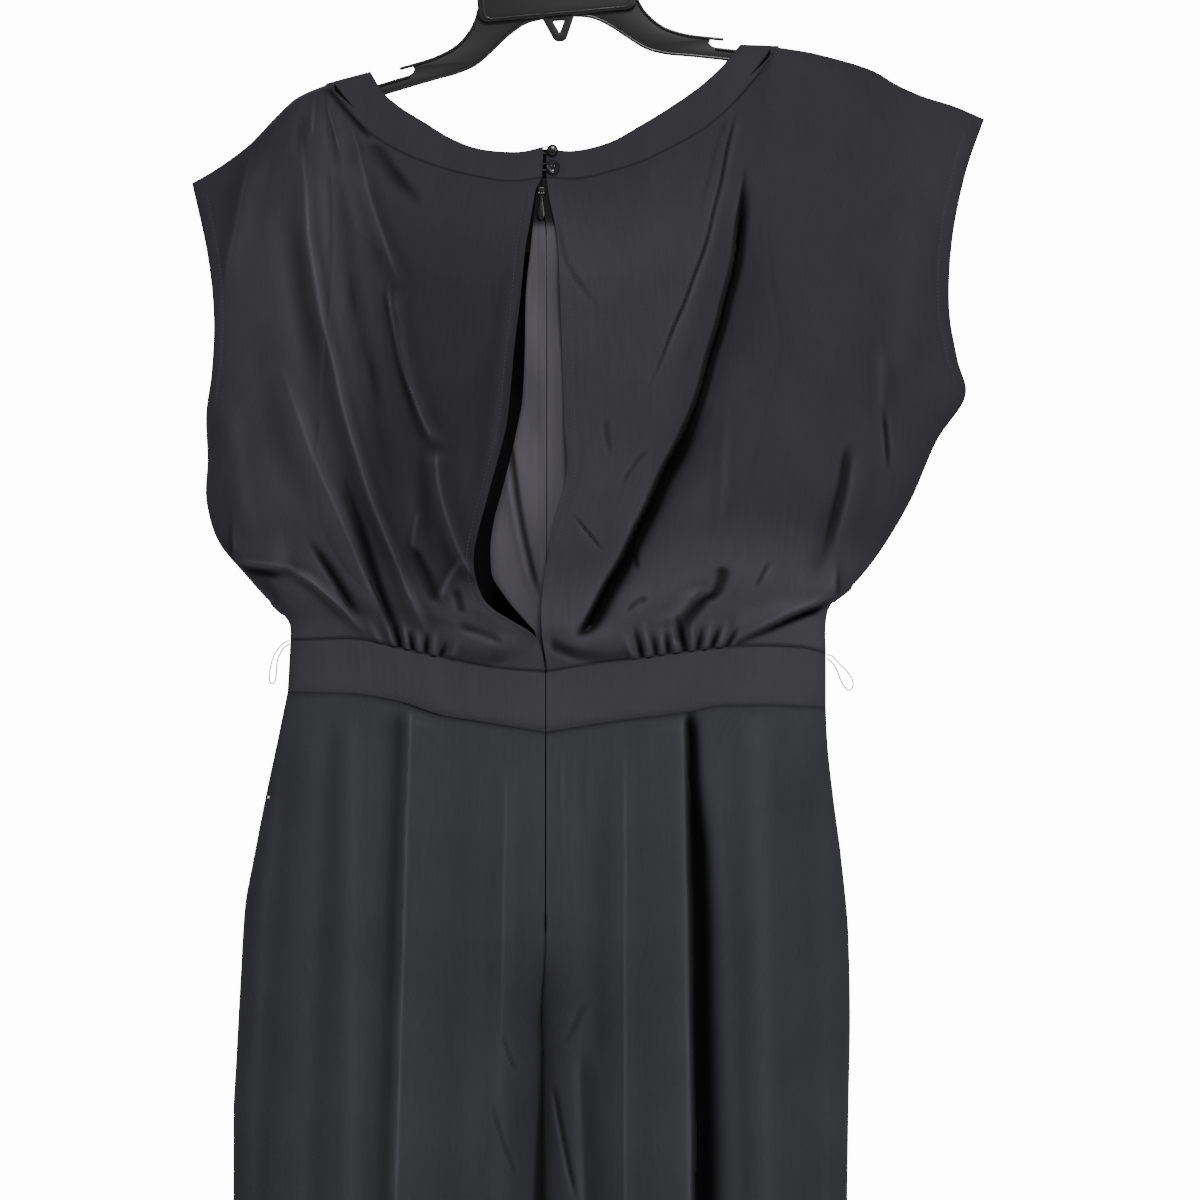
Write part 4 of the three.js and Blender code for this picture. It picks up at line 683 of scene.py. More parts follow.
def form_normals(base, s, t, turn):
    step = 0.003
    along_s = base(np.minimum(s + step, 1), t) - base(np.maximum(s - step, 0), t)
    along_t = base(s, np.minimum(t + step, 1)) - base(s, np.maximum(t - step, 0))
    normal = np.cross(along_s, along_t)
    normal /= np.maximum(np.linalg.norm(normal, axis=-1, keepdims=True), TINY)
    return np.where((normal[..., 1:2] * turn < 0), -normal, normal)


def edge_normals(curve, share, sign):
    way = curve.tangent(np.clip(share, 0, 1))
    normal = np.stack([-way[..., 2], np.zeros_like(way[..., 0]), way[..., 0]], -1)
    wrong = (normal[..., 0] * sign + normal[..., 2]) < 0
    return np.where(wrong[..., None], -normal, normal)


def beside_seam(point, turn):
    point[..., 1] = np.minimum(point[..., 1], 0) if turn < 0 else np.maximum(point[..., 1], 0)
    return point


def grid_lines(stops, pitch_counts):
    """Grid lines between stops with a count of cells for each stretch."""
    lines = [np.array([stops[0]])]
    for low, high, count in zip(stops, stops[1:], pitch_counts):
        lines.append(np.linspace(low, high, count + 1)[1:])
    return np.concatenate(lines)


# Grid lines of the panels, as shares of their width or length
NECK_LINES = grid_lines([0, 0.012, 0.98, 1], [4, 112, 5])
FRONT_NECK_LINES = grid_lines([0, 0.012, 0.98, 1], [2, 56, 3])
BODICE_ROWS = grid_lines([0, 0.003, 0.02, 0.08, 0.94, 0.994, 1], [2, 6, 14, 168, 16, 3])
FRONT_ROWS = grid_lines([0, 0.003, 0.02, 0.08, 0.94, 1], [2, 4, 7, 70, 8])
NECKBAND_ROWS = grid_lines([0, 0.1, 0.9, 1.012], [4, 8, 5])
RING_LINES = grid_lines([0, 0.01, 0.93, 0.99, 1], [3, 64, 10, 6])
BAND_ROWS = grid_lines([-0.008, 0.08, 0.92, 1.008], [5, 10, 5])
LEG_LINES = {
    "back": grid_lines([0, 0.006, 0.03, 0.93, 0.99, 1], [3, 6, 126, 12, 6]),
    "front": grid_lines([0, 0.006, 0.03, 0.93, 0.99, 1], [3, 4, 62, 8, 5]),
}
TROUSER_ROWS = {
    "back": grid_lines([0, 0.006, 0.4, 0.97, 1], [3, 112, 60, 8]),
    "front": grid_lines([0, 0.006, 0.97, 1], [3, 110, 8]),
}


def soften(grid, across, down):
    """Average over a neighbourhood, given as cells across and down."""
    for axis, cells in ((1, across), (0, down)):
        reach = max(int(round(cells * 2)), 1)
        weights = ridge(np.arange(-reach, reach + 1), max(cells, 0.5))
        weights /= weights.sum()
        padded = np.pad(grid, [(reach, reach) if k == axis else (0, 0) for k in range(2)], mode="edge")
        size = grid.shape[axis]
        grid = sum(w * np.take(padded, np.arange(i, i + size), axis) for i, w in enumerate(weights))
    return grid


def fold_tone(lift, outer, shade=0):
    """Painted highlight on ridges and painted shade in creases, for wide folds and for the fine lines on
    them.
    """
    across = np.median(np.linalg.norm(np.diff(outer, axis=1), axis=-1))
    down = np.median(np.linalg.norm(np.diff(outer, axis=0), axis=-1))
    tone = shade / DEEP_SHADE
    for scale in (TONE_WIDE, TONE_FINE):
        proud = lift - soften(lift, scale["reach"] / across, scale["reach"] / down)
        tone = tone + np.where(proud > 0, proud / scale["up"], proud / scale["down"])
    return np.clip(tone, DARKEST, PALEST)


def new_object(name, data):
    obj = bpy.data.objects.new(name, data)
    bpy.context.scene.collection.objects.link(obj)
    return obj


def smooth_faces(mesh, crease, weld=False):
    """Turns the faces of a mesh outward and smooths it between edges sharper than the crease angle."""
    edit = bmesh.new()
    edit.from_mesh(mesh)
    if weld:
        bmesh.ops.remove_doubles(edit, verts=edit.verts, dist=WELD)
    bmesh.ops.recalc_face_normals(edit, faces=edit.faces)
    edit.to_mesh(mesh)
    edit.free()
    mesh.polygons.foreach_set("use_smooth", np.ones(len(mesh.polygons), bool))
    mesh.set_sharp_from_angle(angle=math.radians(crease))


def shell_mesh(name, outer, inner, tone=None):
    """A closed shell between an outer and an inner grid of points, given in millimetres."""
    high, wide = outer.shape[:2]
    points = np.concatenate([outer.reshape(-1, 3), inner.reshape(-1, 3)]) * MM
    number = np.arange(2 * high * wide).reshape(2, high, wide)

    def quads(a, b, c, d):
        return np.stack([a.ravel(), b.ravel(), c.ravel(), d.ravel()], -1)

    o, n = number
    faces = np.concatenate([
        quads(o[:-1, :-1], o[:-1, 1:], o[1:, 1:], o[1:, :-1]),
        quads(n[:-1, :-1], n[1:, :-1], n[1:, 1:], n[:-1, 1:]),
        quads(o[0, 1:], o[0, :-1], n[0, :-1], n[0, 1:]),
        quads(o[-1, :-1], o[-1, 1:], n[-1, 1:], n[-1, :-1]),
        quads(o[:-1, 0], o[1:, 0], n[1:, 0], n[:-1, 0]),
        quads(o[1:, -1], o[:-1, -1], n[:-1, -1], n[1:, -1]),
    ])
    mesh = bpy.data.meshes.new(name)
    mesh.vertices.add(len(points))
    mesh.vertices.foreach_set("co", points.ravel())
    mesh.loops.add(faces.size)
    mesh.loops.foreach_set("vertex_index", faces.ravel().astype(np.int32))
    mesh.polygons.add(len(faces))
    mesh.polygons.foreach_set("loop_start", np.arange(0, faces.size, 4, dtype=np.int32))
    # The tone attribute carries painted light and shade; the inner faces get a flat painted shade
    shade = mesh.attributes.new("tone", "FLOAT", "POINT")
    tones = np.zeros(outer.shape[:2]) if tone is None else tone
    shade.data.foreach_set("value", np.concatenate([tones.ravel(), np.full(tones.size, INSIDE_SHADE)]))
    layer = mesh.uv_layers.new(name="cloth")
    flat = np.concatenate([cloth_uv(outer).reshape(-1, 2)] * 2)[faces.ravel()] * MM
    layer.data.foreach_set("uv", flat.ravel())
    mesh.update(calc_edges=True)
    mesh.validate()
    smooth_faces(mesh, CLOTH_CREASE)
    return new_object(name, mesh)


def cloth_uv(outer):
    """Lengths along the cloth, across and down, so that the weave keeps its scale."""
    across = np.linalg.norm(np.diff(outer, axis=1), axis=-1)
    down = np.linalg.norm(np.diff(outer, axis=0), axis=-1)
    u = np.concatenate([np.zeros((outer.shape[0], 1)), np.cumsum(across, axis=1)], 1)
    v = np.concatenate([np.zeros((1, outer.shape[1])), np.cumsum(down, axis=0)], 0)
    return np.stack([u, -v], -1)


def dress(obj, material, slot, *nodes, body=BODY):
    """Gives a piece its material and body, and hides the solids it stands for; the slot is not used."""
    obj.data.materials.clear()
    obj.data.materials.append(material)
    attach(obj, body)
    if nodes:
        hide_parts(*nodes)
    return obj


# Camera
camera_data = bpy.data.cameras.new("camera")
camera_data.sensor_width = SENSOR
camera_data.lens = SENSOR * CAMERA_FAR / FRAME_WIDTH
camera_data.clip_end = 50
camera = new_object("camera", camera_data)
camera.location = (VIEW_X, -CAMERA_FAR, VIEW_Z)
camera.rotation_euler = (math.radians(90), 0, 0)
bpy.context.scene.camera = camera


# Materials
def new_material(name):
    material = bpy.data.materials.new(name)
    material.use_nodes = True
    nodes = material.node_tree.nodes
    return material, nodes, material.node_tree.links, nodes["Principled BSDF"]


def set_inputs(node, values):
    for name, value in values.items():
        node.inputs[name].default_value = value


def linear(*rgb):
    """Linear colour from 0 to 255 screen values."""
    return tuple((v / 255 / 12.92 if v < 10.3 else ((v / 255 + 0.055) / 1.055) ** 2.4) for v in rgb) + (1.0,)


def add_noise(nodes, links, vector, scale, detail=2.0, stretch=None):
    noise = nodes.new("ShaderNodeTexNoise")
    set_inputs(noise, {"Scale": scale, "Detail": detail})
    if stretch:
        mapping = nodes.new("ShaderNodeMapping")
        mapping.inputs["Scale"].default_value = stretch
        links.new(vector, mapping.inputs["Vector"])
        vector = mapping.outputs["Vector"]
    links.new(vector, noise.inputs["Vector"])
    return noise.outputs["Fac"]


def tinted(nodes, links, amount, base, low, high, start=0.0, end=1.0):
    """The base colour times low where the amount is at start, and times high where it is at end."""
    node = nodes.new("ShaderNodeValToRGB")
    colour = linear(*base)[:3]
    for element, position, factor in zip(node.color_ramp.elements, (start, end), (low, high)):
        element.position = position
        element.color = tuple(c * factor for c in colour) + (1,)
    links.new(amount, node.inputs["Fac"])
    return node.outputs["Color"]


def add_bump(nodes, links, shader, height, strength, distance):
    bump = nodes.new("ShaderNodeBump")
    set_inputs(bump, {"Strength": strength, "Distance": distance})
    links.new(height, bump.inputs["Height"])
    links.new(bump.outputs["Normal"], shader.inputs["Normal"])


def add_scaled(nodes, links, amount, factor, base):
    """The amount times the factor, added to the base."""
    node = nodes.new("ShaderNodeMath")
    node.operation = "MULTIPLY_ADD"
    node.inputs[1].default_value = factor
    links.new(amount, node.inputs[0])
    links.new(base, node.inputs[2])
    return node.outputs[0]


CREPE = {"slow": 9.0, "streak": 420.0, "grain": 1500.0, "sheen": 0.03, "sheen_rough": 0.45, "specular": 0.06}
SCUFF_SCALE = 180.0
COAT_ROUGH = 0.08
THREAD_TWIST = 900.0


def crepe(name, base, rough=0.86):
    """Matt crepe: a fine pebbled weave, faint warp streaks and slow changes of tone, with painted light and
    shade from the tone attribute.
    """
    material, nodes, links, shader = new_material(name)
    place = nodes.new("ShaderNodeTexCoord").outputs["UV"]
    slow = add_noise(nodes, links, place, CREPE["slow"], 3.0)
    streak = add_noise(nodes, links, place, CREPE["streak"], 2.0, (1.0, 0.08, 1.0))
    grain = add_noise(nodes, links, place, CREPE["grain"], 2.0)
    amount = add_scaled(nodes, links, grain, 0.3, add_scaled(nodes, links, streak, 0.35, slow))
    colour = tinted(nodes, links, amount, base, 0.86, 1.14, 0.5, 1.0)
    # Painted light and shade: the base colour is scaled by TONE_RANGE raised to the tone attribute
    painted_light = nodes.new("ShaderNodeAttribute")
    painted_light.attribute_name = "tone"
    power = nodes.new("ShaderNodeMath")
    power.operation = "POWER"
    power.inputs[0].default_value = TONE_RANGE
    links.new(painted_light.outputs["Fac"], power.inputs[1])
    toned = nodes.new("ShaderNodeVectorMath")
    toned.operation = "SCALE"
    links.new(colour, toned.inputs["Vector"])
    links.new(power.outputs[0], toned.inputs["Scale"])
    links.new(toned.outputs["Vector"], shader.inputs["Base Color"])
    set_inputs(shader, {
        "Roughness": rough, "Specular IOR Level": CREPE["specular"], "Sheen Weight": CREPE["sheen"],
        "Sheen Roughness": CREPE["sheen_rough"],
    })
    add_bump(nodes, links, shader, grain, 0.5, 0.00025)
    return material


def plain_gloss(name, base, rough, metal=0.0, grain=0.04, spread=0.06, gloss=0.5, coat=0.0):
    """Moulded plastic, enamel or plated wire with faint scuffs in its gloss."""
    material, nodes, links, shader = new_material(name)
    place = nodes.new("ShaderNodeTexCoord").outputs["Object"]
    scuff = add_noise(nodes, links, place, SCUFF_SCALE, 4.0)
    ramp = nodes.new("ShaderNodeMapRange")
    set_inputs(ramp, {"To Min": rough - spread, "To Max": rough + spread})
    links.new(scuff, ramp.inputs["Value"])
    links.new(ramp.outputs["Result"], shader.inputs["Roughness"])
    links.new(tinted(nodes, links, scuff, base, 0.85, 1.15), shader.inputs["Base Color"])
    set_inputs(shader, {"Metallic": metal, "Specular IOR Level": gloss})
    if coat:
        set_inputs(shader, {"Coat Weight": coat, "Coat Roughness": COAT_ROUGH})
    add_bump(nodes, links, shader, scuff, grain, 0.0005)
    return material


def twisted_thread(name, base):
    """Two-ply thread: fine slanted bands across a soft core."""
    material, nodes, links, shader = new_material(name)
    place = nodes.new("ShaderNodeTexCoord").outputs["Object"]
    wave = nodes.new("ShaderNodeTexWave")
    wave.bands_direction = "DIAGONAL"
    set_inputs(wave, {"Scale": THREAD_TWIST, "Distortion": 1.5})
    links.new(place, wave.inputs["Vector"])
    links.new(tinted(nodes, links, wave.outputs["Fac"], base, 0.6, 1.3), shader.inputs["Base Color"])
    set_inputs(shader, {"Roughness": 0.75, "Sheen Weight": 0.2})
    add_bump(nodes, links, shader, wave.outputs["Fac"], 0.4, 0.0003)
    return material


BODICE_CREPE = crepe("crepe_bodice", (44, 43, 47))
BAND_CREPE = crepe("crepe_band", (52, 51, 55))
TROUSER_CREPE = crepe("crepe_trousers", (48, 48, 52))
UNDERLAY_CREPE = crepe("crepe_underlay", (69, 67, 72), rough=0.7)
POCKETING = crepe("pocketing", (38, 38, 41))
ENAMEL = plain_gloss("black_enamel", (12, 12, 14), 0.2)
HANGER_PLASTIC = plain_gloss(
    "hanger_plastic", (18, 18, 19), 0.42, grain=0.012, spread=0.03, gloss=0.14, coat=0.5,
)
HOOK_STEEL = plain_gloss("hook_steel", (190, 190, 192), 0.18, metal=1.0)
LOOP_THREAD = twisted_thread("loop_thread", (96, 96, 98))
SEWING_THREAD = twisted_thread("sewing_thread", (24, 24, 26))
TACK_THREAD = twisted_thread("tack_thread", (215, 215, 212))

# Thread belt carriers at the waist seam
THREAD = 1.1
THREAD_ROUTES = {
    "left": [
        (-179.5, -1.6, -548.4), (-182, -1.7, -549.2), (-186.3, -1.8, -552.7), (-190.1, -1.9, -558.5),
        (-192.8, -2, -567.1), (-193.5, -1.8, -573.5), (-193.1, -1.2, -577.4), (-191.4, -0.2, -578.9),
        (-189.6, 0.8, -576.3), (-188.7, 1.4, -569.7), (-188.3, 1.6, -563.5), (-186.6, 1.6, -558.4),
        (-183.6, 1.6, -553.6), (-179.5, 1.6, -550.6),
    ],
    "right": [
        (196.6, -1.6, -558), (200.8, -1.7, -559.6), (205.1, -1.8, -564.5), (210.4, -1.9, -569.7),
        (214.2, -1.9, -575.2), (214.9, -1.4, -579.4), (213.6, -0.6, -582.6), (211.6, 0.4, -583.1),
        (208.8, 1.2, -580.5), (206.1, 1.6, -575.6), (203.6, 1.7, -569), (200.6, 1.7, -564.2),
        (196.6, 1.7, -561),
    ],
}


def thread_curve(name, route, diameter, pieces=60):
    line = Curve(route)
    points = line.at(np.linspace(0, 1, pieces)) * MM
    data = bpy.data.curves.new(name, "CURVE")
    data.dimensions = "3D"
    data.bevel_depth = diameter / 2 * MM
    data.bevel_resolution = 3
    data.use_fill_caps = True
    spline = data.splines.new("POLY")
    spline.points.add(len(points) - 1)
    spline.points.foreach_set("co", np.concatenate([points, np.ones((len(points), 1))], 1).ravel())
    return new_object(name, data), line.length * MM


for side, route in THREAD_ROUTES.items():
    loop, length = thread_curve(f"thread_carrier_{side}", route, THREAD)
    dress(loop, LOOP_THREAD, "thread", f"thread_loop_{side}")


# Bodice
def bodice_columns(form, neck_lines, side_cells):
    beyond = grid_lines([form.neck_share, 0.9, 0.985, 1], side_cells)
    return np.concatenate([neck_lines * form.neck_share, beyond[1:]])


def bodice_sheets(form, columns, rows):
    s, t = np.meshgrid(columns, rows)
    outer = form.outside(s, t)
    inner = beside_seam(outer - form.normals(s, t) * CLOTH, form.turn)
    return beside_seam(outer.copy(), form.turn), inner, fold_tone(form.lift, outer, form.shade)


def build_bodice_back(side):
    form = Bodice(HALVES[side], "back")
    outer, inner, tone = bodice_sheets(form, bodice_columns(form, NECK_LINES, [60, 15, 6]), BODICE_ROWS)
    obj = shell_mesh(f"cloth_bodice_back_{side}", outer, inner, tone)
    dress(obj, BODICE_CREPE, "crepe_bodice", f"bodice_back_{side}")


def joined_halves(left, right):
    """The sheets of a piece that runs across the middle, from those of its two halves."""
    return [np.concatenate([a[:, :0:-1], b], 1) for a, b in zip(left, right)]


def build_bodice_front():
    sheets = []
    for half in HALVES.values():
        form = Bodice(half, "front")
        columns = bodice_columns(form, FRONT_NECK_LINES, [24, 8, 4])
        sheets.append(bodice_sheets(form, columns, FRONT_ROWS))
    obj = shell_mesh("cloth_bodice_front", *joined_halves(*sheets))
    dress(obj, BODICE_CREPE, "crepe_bodice", "bodice_front")


# Painted shade: thin dark lines along the upper and lower seam of a band
NECKBAND_SEAMS = {"high": 0.2, "low": 0.6, "reach": 0.022}
WAISTBAND_SEAMS = {"high": 0.8, "low": 0.45, "reach": 0.018}


def band_tone(columns, rows, seams):
    high = seams["high"] * ridge(rows, seams["reach"])
    low = seams["low"] * ridge(1 - rows, seams["reach"])
    return np.repeat(-(high + low)[:, None], columns, 1)


def build_bands(name, sheets, rows, seams, material, slot):
    """A band in three pieces: two backs and a front."""
    pieces = {f"back_{side}": sheets(half, "back") for side, half in HALVES.items()}
    pieces["front"] = joined_halves(*(sheets(half, "front") for half in HALVES.values()))
    for place, (outer, inner) in pieces.items():
        tone = band_tone(outer.shape[1], rows, seams)
        obj = shell_mesh(f"cloth_{name}_{place}", outer, inner, tone)
        dress(obj, material, slot, f"{name}_{place}")


# Neckband: how deep its edges turn in and over what share of its height, and how far it stands proud
NECKBAND_ROLL = {"top": (0.8, 0.05), "seam": (0.45, 0.03), "crown": 0.35}


class Neckband:
    """The form of one half of the neckband: s from its middle to the shoulder, t from top edge to seam."""

    def __init__(self, half, face):
        back = face == "back"
        self.turn = TURN[face]
        self.seam = plane_curve(half["neck_seam"] if back else front_neck(half["neck_seam"]))
        self.top = plane_curve(half["neck_top"] if back else front_neck(half["neck_top"]))

    def base(self, s, t):
        trim = 1 + CORNER_LAP * smooth((s - 0.86) / 0.14)
        point = mix(self.top.at(s), self.seam.at(s), (t * trim)[..., None])
        point[..., 1] = self.turn * mix(NECK_TOP_DEPTH, NECK_DEPTH, t) * ring_share(s, NECK_POWER)
        return point

    def outside(self, s, t):
        point = self.base(s, t)
        top, seam = NECKBAND_ROLL["top"], NECKBAND_ROLL["seam"]
        roll = top[0] * ridge(t, top[1]) + seam[0] * ridge(1 - t, seam[1])
        crown = NECKBAND_ROLL["crown"] * np.sin(math.pi * t)
        point[..., 1] -= self.turn * (roll - crown)
        return point

    def normals(self, s, t):
        normal = form_normals(self.base, s, t, self.turn)
        edge = self.base(np.ones(1), np.ones(1))[0] - self.base(np.ones(1), np.zeros(1))[0]
        up = np.array([-edge[2], 0, edge[0]])
        up /= np.linalg.norm(up) * (1 if up[2] > 0 else -1)
        return np.where((s >= 1 - TINY)[..., None], up, normal)


def neckband_sheets(half, face):
    form = Neckband(half, face)
    s, t = np.meshgrid(NECK_LINES, NECKBAND_ROWS)
    outer = form.outside(s, t)
    inner = beside_seam(outer - form.normals(s, t) * BAND_WALL, form.turn)
    return beside_seam(outer.copy(), form.turn), inner


# Waistband
BAND_STITCH = 2.0
BAND_HIGH = 40.0
BAND_WALL = 1.3 * CLOTH
BAND_EDGE = 0.5
BAND_GROOVE = 0.35
BAND_RIPPLE = 0.35


def band_base(half, face, u, t):
    high_x, high_z = ring_seam(half, "waist_seam", face, u)
    low_x, low_z = ring_seam(half, "band_seam", face, u)
    y = TURN[face] * WAIST_DEPTH * ring_share(u, RING_POWER)
    return np.stack([mix(high_x, low_x, t), y + 0 * t, mix(high_z, low_z, t)], -1)


def band_surface(half, face, u, t):
    outer = band_base(half, face, u, t)
    from_low = (1 - t) * BAND_HIGH
    edges = BAND_EDGE * ridge(t, 0.03) + BAND_EDGE * ridge(1 - t, 0.02)
    groove = BAND_GROOVE * ridge(from_low - BAND_STITCH, 0.8)
    ripple = BAND_RIPPLE * np.sin(u * 31 + 0.6 * t) * np.sin(u * 13 + 2) * np.sin(math.pi * t)
    outer[..., 1] -= TURN[face] * (edges + groove - ripple) * smooth((1 - u) / 0.05)
    return outer


def waistband_sheets(half, face):
    u, t = np.meshgrid(RING_LINES, BAND_ROWS)
    outer = band_surface(half, face, u, t)
    normal = form_normals(lambda a, b: band_base(half, face, a, b), u, t, TURN[face])
    normal = np.where((u >= 1 - TINY)[..., None], np.array([half["sign"], 0.0, 0.0]), normal)
    inner = outer - normal * BAND_WALL
    sheets = []
    for sheet in (outer, inner):
        if face == "back":
            x = sheet[..., 0]
            sheet[..., 0] = np.minimum(x, -BAND_END) if half["sign"] < 0 else np.maximum(x, BAND_END)
        sheets.append(beside_seam(sheet, TURN[face]))
    return sheets


# Trousers
class Trouser:
    """The form of one leg panel: s from the centre seam to the side seam, t from waistband to hem."""

    def __init__(self, half, face):
        self.half, self.face = half, face
        self.turn = TURN[face]
        rows = FOLDS[f"trouser_{face}"]
        mine = rows["x0"] * half["sign"] > 0
        self.folds = {key: values[mine] for key, values in rows.items()}

    def base(self, s, t):
        z = mix(ring_seam(self.half, "band_seam", self.face, s)[1] - SEAM_GAP, HEM_Z, t)
        side = read_table(self.half["trouser_side"], "z", "x", z)
        gap = np.minimum(LEG_GAP_START + LEG_GAP_SLOPE * np.maximum(0, CROTCH_Z - z), LEG_GAP_MAX)
        above = smooth((CROTCH_TOP + SEAM_END - z) / SEAM_END_RUN) if self.face == "back" else 1
        gap = np.where(z > CROTCH_Z, mix(gap, SEAM_CLOSED, above), gap)
        x = mix(self.half["sign"] * gap, side, s)
        split = smooth((CROTCH_TOP - z) / (CROTCH_TOP - CROTCH_Z))
        share = mix(ring_share(s, RING_POWER), ring_share(2 * s - 1, LEG_POWER), split)
        y = self.turn * read_table(TROUSER_DEPTH, "z", self.face, z) * share
        # Both inseams lean the same way, so that the right leg laps over the left one at the back
        lean = split * smooth((0.3 - s) / 0.3)
        return np.stack([x + LEG_TWIST * lean * np.tanh(y / LEG_TWIST_DEPTH), y, z], -1)

    def outside(self, s, t):
        point = self.base(s, t)
        x, z = point[..., 0], point[..., 2]
        near_centre = smooth(s / 0.02 + np.where(z > CROTCH_TOP, 1, 0))
        away = smooth((1 - s) / SIDE_FADE) * smooth(t / LEG_TOP_FADE + 0.15) * near_centre
        lift = fold_height(self.folds, x, z, sway=LEG_SWAY) * away
        # Painted shade for the tone attribute: in the deep laps, with the painted highlight held off their
        # edges, along the waistband seam, and along painted shade lines on the right back leg
        deep = fold_height(deep_rows(self.folds), x, z, sway=LEG_SWAY) * away
        self.lift = lift - DEEP_KEPT * deep
        self.shade = deep - SEAM_SHADE * smooth(1 - t / 0.003)
        if self.face == "back" and self.half["sign"] > 0:
            self.shade += fold_height(SHADE_LINES["trouser_back"], x, z, sway=LEG_SWAY)
        hem = hem_profile(z - HEM_Z, HEM_LEG) * smooth((1 - s) / 0.02) * smooth(s / 0.02)
        point[..., 1] += self.turn * (lift + hem)
        return point


def between_legs_shade(face, outer, s):
    """Painted shade in a strip along the centre seam between the legs, which grows down from the crotch."""
    stretch = LEG_SHADE * smooth((CROTCH_Z - outer[..., 2]) / LEG_SHADE_RUN)
    width = np.abs(outer[..., 0] - outer[:, :1, 0]).max()
    return smooth((stretch + 1.5 - s * width) / 2.5) * (outer[..., 2] < LEG_SHADE_TOP[face])


def build_trouser(side, face):
    half = HALVES[side]
    form = Trouser(half, face)
    s, t = np.meshgrid(LEG_LINES[face], TROUSER_ROWS[face])
    outer = form.outside(s, t)
    normal = form_normals(form.base, s, t, form.turn)
    side_way = np.array([half["sign"], 0.0, 0.0])
    below = outer[..., 2] < CROTCH_Z
    normal = np.where((s >= 1 - TINY)[..., None], side_way, normal)
    normal = np.where(((s <= TINY) & below)[..., None], -side_way, normal)
    inner = outer - normal * CLOTH
    for sheet in (outer, inner):
        x, z = sheet[..., 0], sheet[..., 2]
        kept = np.minimum(x, -SEAM_CLOSED) if half["sign"] < 0 else np.maximum(x, SEAM_CLOSED)
        sheet[..., 0] = np.where(z > CROTCH_TOP, kept, x)
        beside_seam(sheet, form.turn)
    tone = fold_tone(form.lift, outer, form.shade) - LEG_SHADE_STRENGTH * between_legs_shade(face, outer, s)
    obj = shell_mesh(f"cloth_trouser_{face}_{side}", outer, inner, tone)
    dress(obj, TROUSER_CREPE, "crepe_trousers", f"trouser_{face}_{side}")


# Inner back: a crease in its left half, and the zip's tapes with a row of stitches beside them
UNDERLAY_WALL = 0.7
UNDERLAY_CREASE = {"top": -407, "long": 115, "high_x": -25.2, "low_x": -3.5, "bow": 3}
UNDERLAY_TAPE = {"half": 5, "deep": 0.5, "stitch": 6, "rise": 0.3}
UNDERLAY_DARK_TOP = {"z": -262, "run": 9}


def underlay_y(x, z):
    return -read_table(UNDERLAY_DEPTH, "z", "depth", z) * ring_share(x / UNDERLAY_HALF, RING_POWER)


def build_underlay(side):
    sign = HALVES[side]["sign"]
    s, t = np.meshgrid(np.linspace(0, 1, 44), np.linspace(0, 1, 170))
    z = mix(UNDERLAY_TOP, UNDERLAY_BOTTOM, t)
    edge = read_table(UNDERLAY_EDGE, "z", side, z)
    x = mix(read_table(ZIP_LINE, "z", "x", z) + sign * BAND_END, edge, s)
    down = (UNDERLAY_CREASE["top"] - z) / UNDERLAY_CREASE["long"]
    line = mix(UNDERLAY_CREASE["high_x"], UNDERLAY_CREASE["low_x"], down)
    aside = x - line + UNDERLAY_CREASE["bow"] * np.sin(math.pi * np.clip(down, 0, 1))
    run = smooth(down / 0.15) * smooth((1 - down) / 0.2)
    crease = run * (1.8 * ridge(aside, 1.8) - 1.2 * ridge(aside + 4.5, 3))
    from_zip = s * np.abs(edge)
    tape = UNDERLAY_TAPE["deep"] * ridge(from_zip, UNDERLAY_TAPE["half"])
    stitch = UNDERLAY_TAPE["rise"] * ridge(from_zip - UNDERLAY_TAPE["stitch"], 1)
    slack = 0.5 * np.sin(z / 17 + x / 9) * smooth(s / 0.3)
    y = underlay_y(x, z) + np.clip(crease - tape + stitch + slack, -3, 0.9)
    # Painted shade: darker along the crease with a faint paler line beside it, darker where the slack lies
    # back and paler where it stands out, darker towards the outer edge, and darker over the top, which lies
    # in the shade of the slit
    dark = run * (2 * ridge(aside - 0.6, 1.8) - 0.2 * ridge(aside + 3.4, 1.6))
    tone = np.clip(-dark, RECESS_SHADE, 0.8) - 0.25 * slack - 0.5 * smooth((s - 0.86) / 0.14)
    tone += RECESS_SHADE * smooth((z - UNDERLAY_DARK_TOP["z"]) / UNDERLAY_DARK_TOP["run"])
    outer = np.stack([x, y, z], -1)
    obj = shell_mesh(f"cloth_underlay_{side}", outer, outer + np.array([0, UNDERLAY_WALL, 0]), tone)
    dress(obj, UNDERLAY_CREPE, "crepe_underlay", f"underlay_{side}")


for side in HALVES:
    build_bodice_back(side)
    build_underlay(side)
    for face in ("back", "front"):
        build_trouser(side, face)
build_bodice_front()
build_bands("neckband", neckband_sheets, NECKBAND_ROWS, NECKBAND_SEAMS, BODICE_CREPE, "crepe_bodice")
build_bands("waistband", waistband_sheets, BAND_ROWS, WAISTBAND_SEAMS, BAND_CREPE, "crepe_band")

# Seam allowances, pressed open inside the neck seam and the centre back seam
ALLOWANCE = {"half": 6, "inset": 2.3, "wall": 0.7}
CENTRE_ALLOWANCE_RUN = (-571.5, -744)
BAND_LOW = -612


def build_neck_allowance(side):
    half = HALVES[side]
    seam = plane_curve(half["neck_seam"])
    s, t = np.meshgrid(np.linspace(0.02, 0.95, 70), np.linspace(-1, 1, 7))
    point = seam.at(s)
    point[..., 2] += ALLOWANCE["half"] * t
    point[..., 1] = -(NECK_DEPTH - ALLOWANCE["inset"] - 0.4 * t) * ring_share(s, NECK_POWER)
    inner = point + np.array([0, ALLOWANCE["wall"], 0])
    # Painted shade all over the allowance, which lies in shade inside the neck
    obj = shell_mesh(f"cloth_neck_allowance_{side}", point, inner, np.full_like(s, RECESS_SHADE))
    dress(obj, BODICE_CREPE, "crepe_bodice")


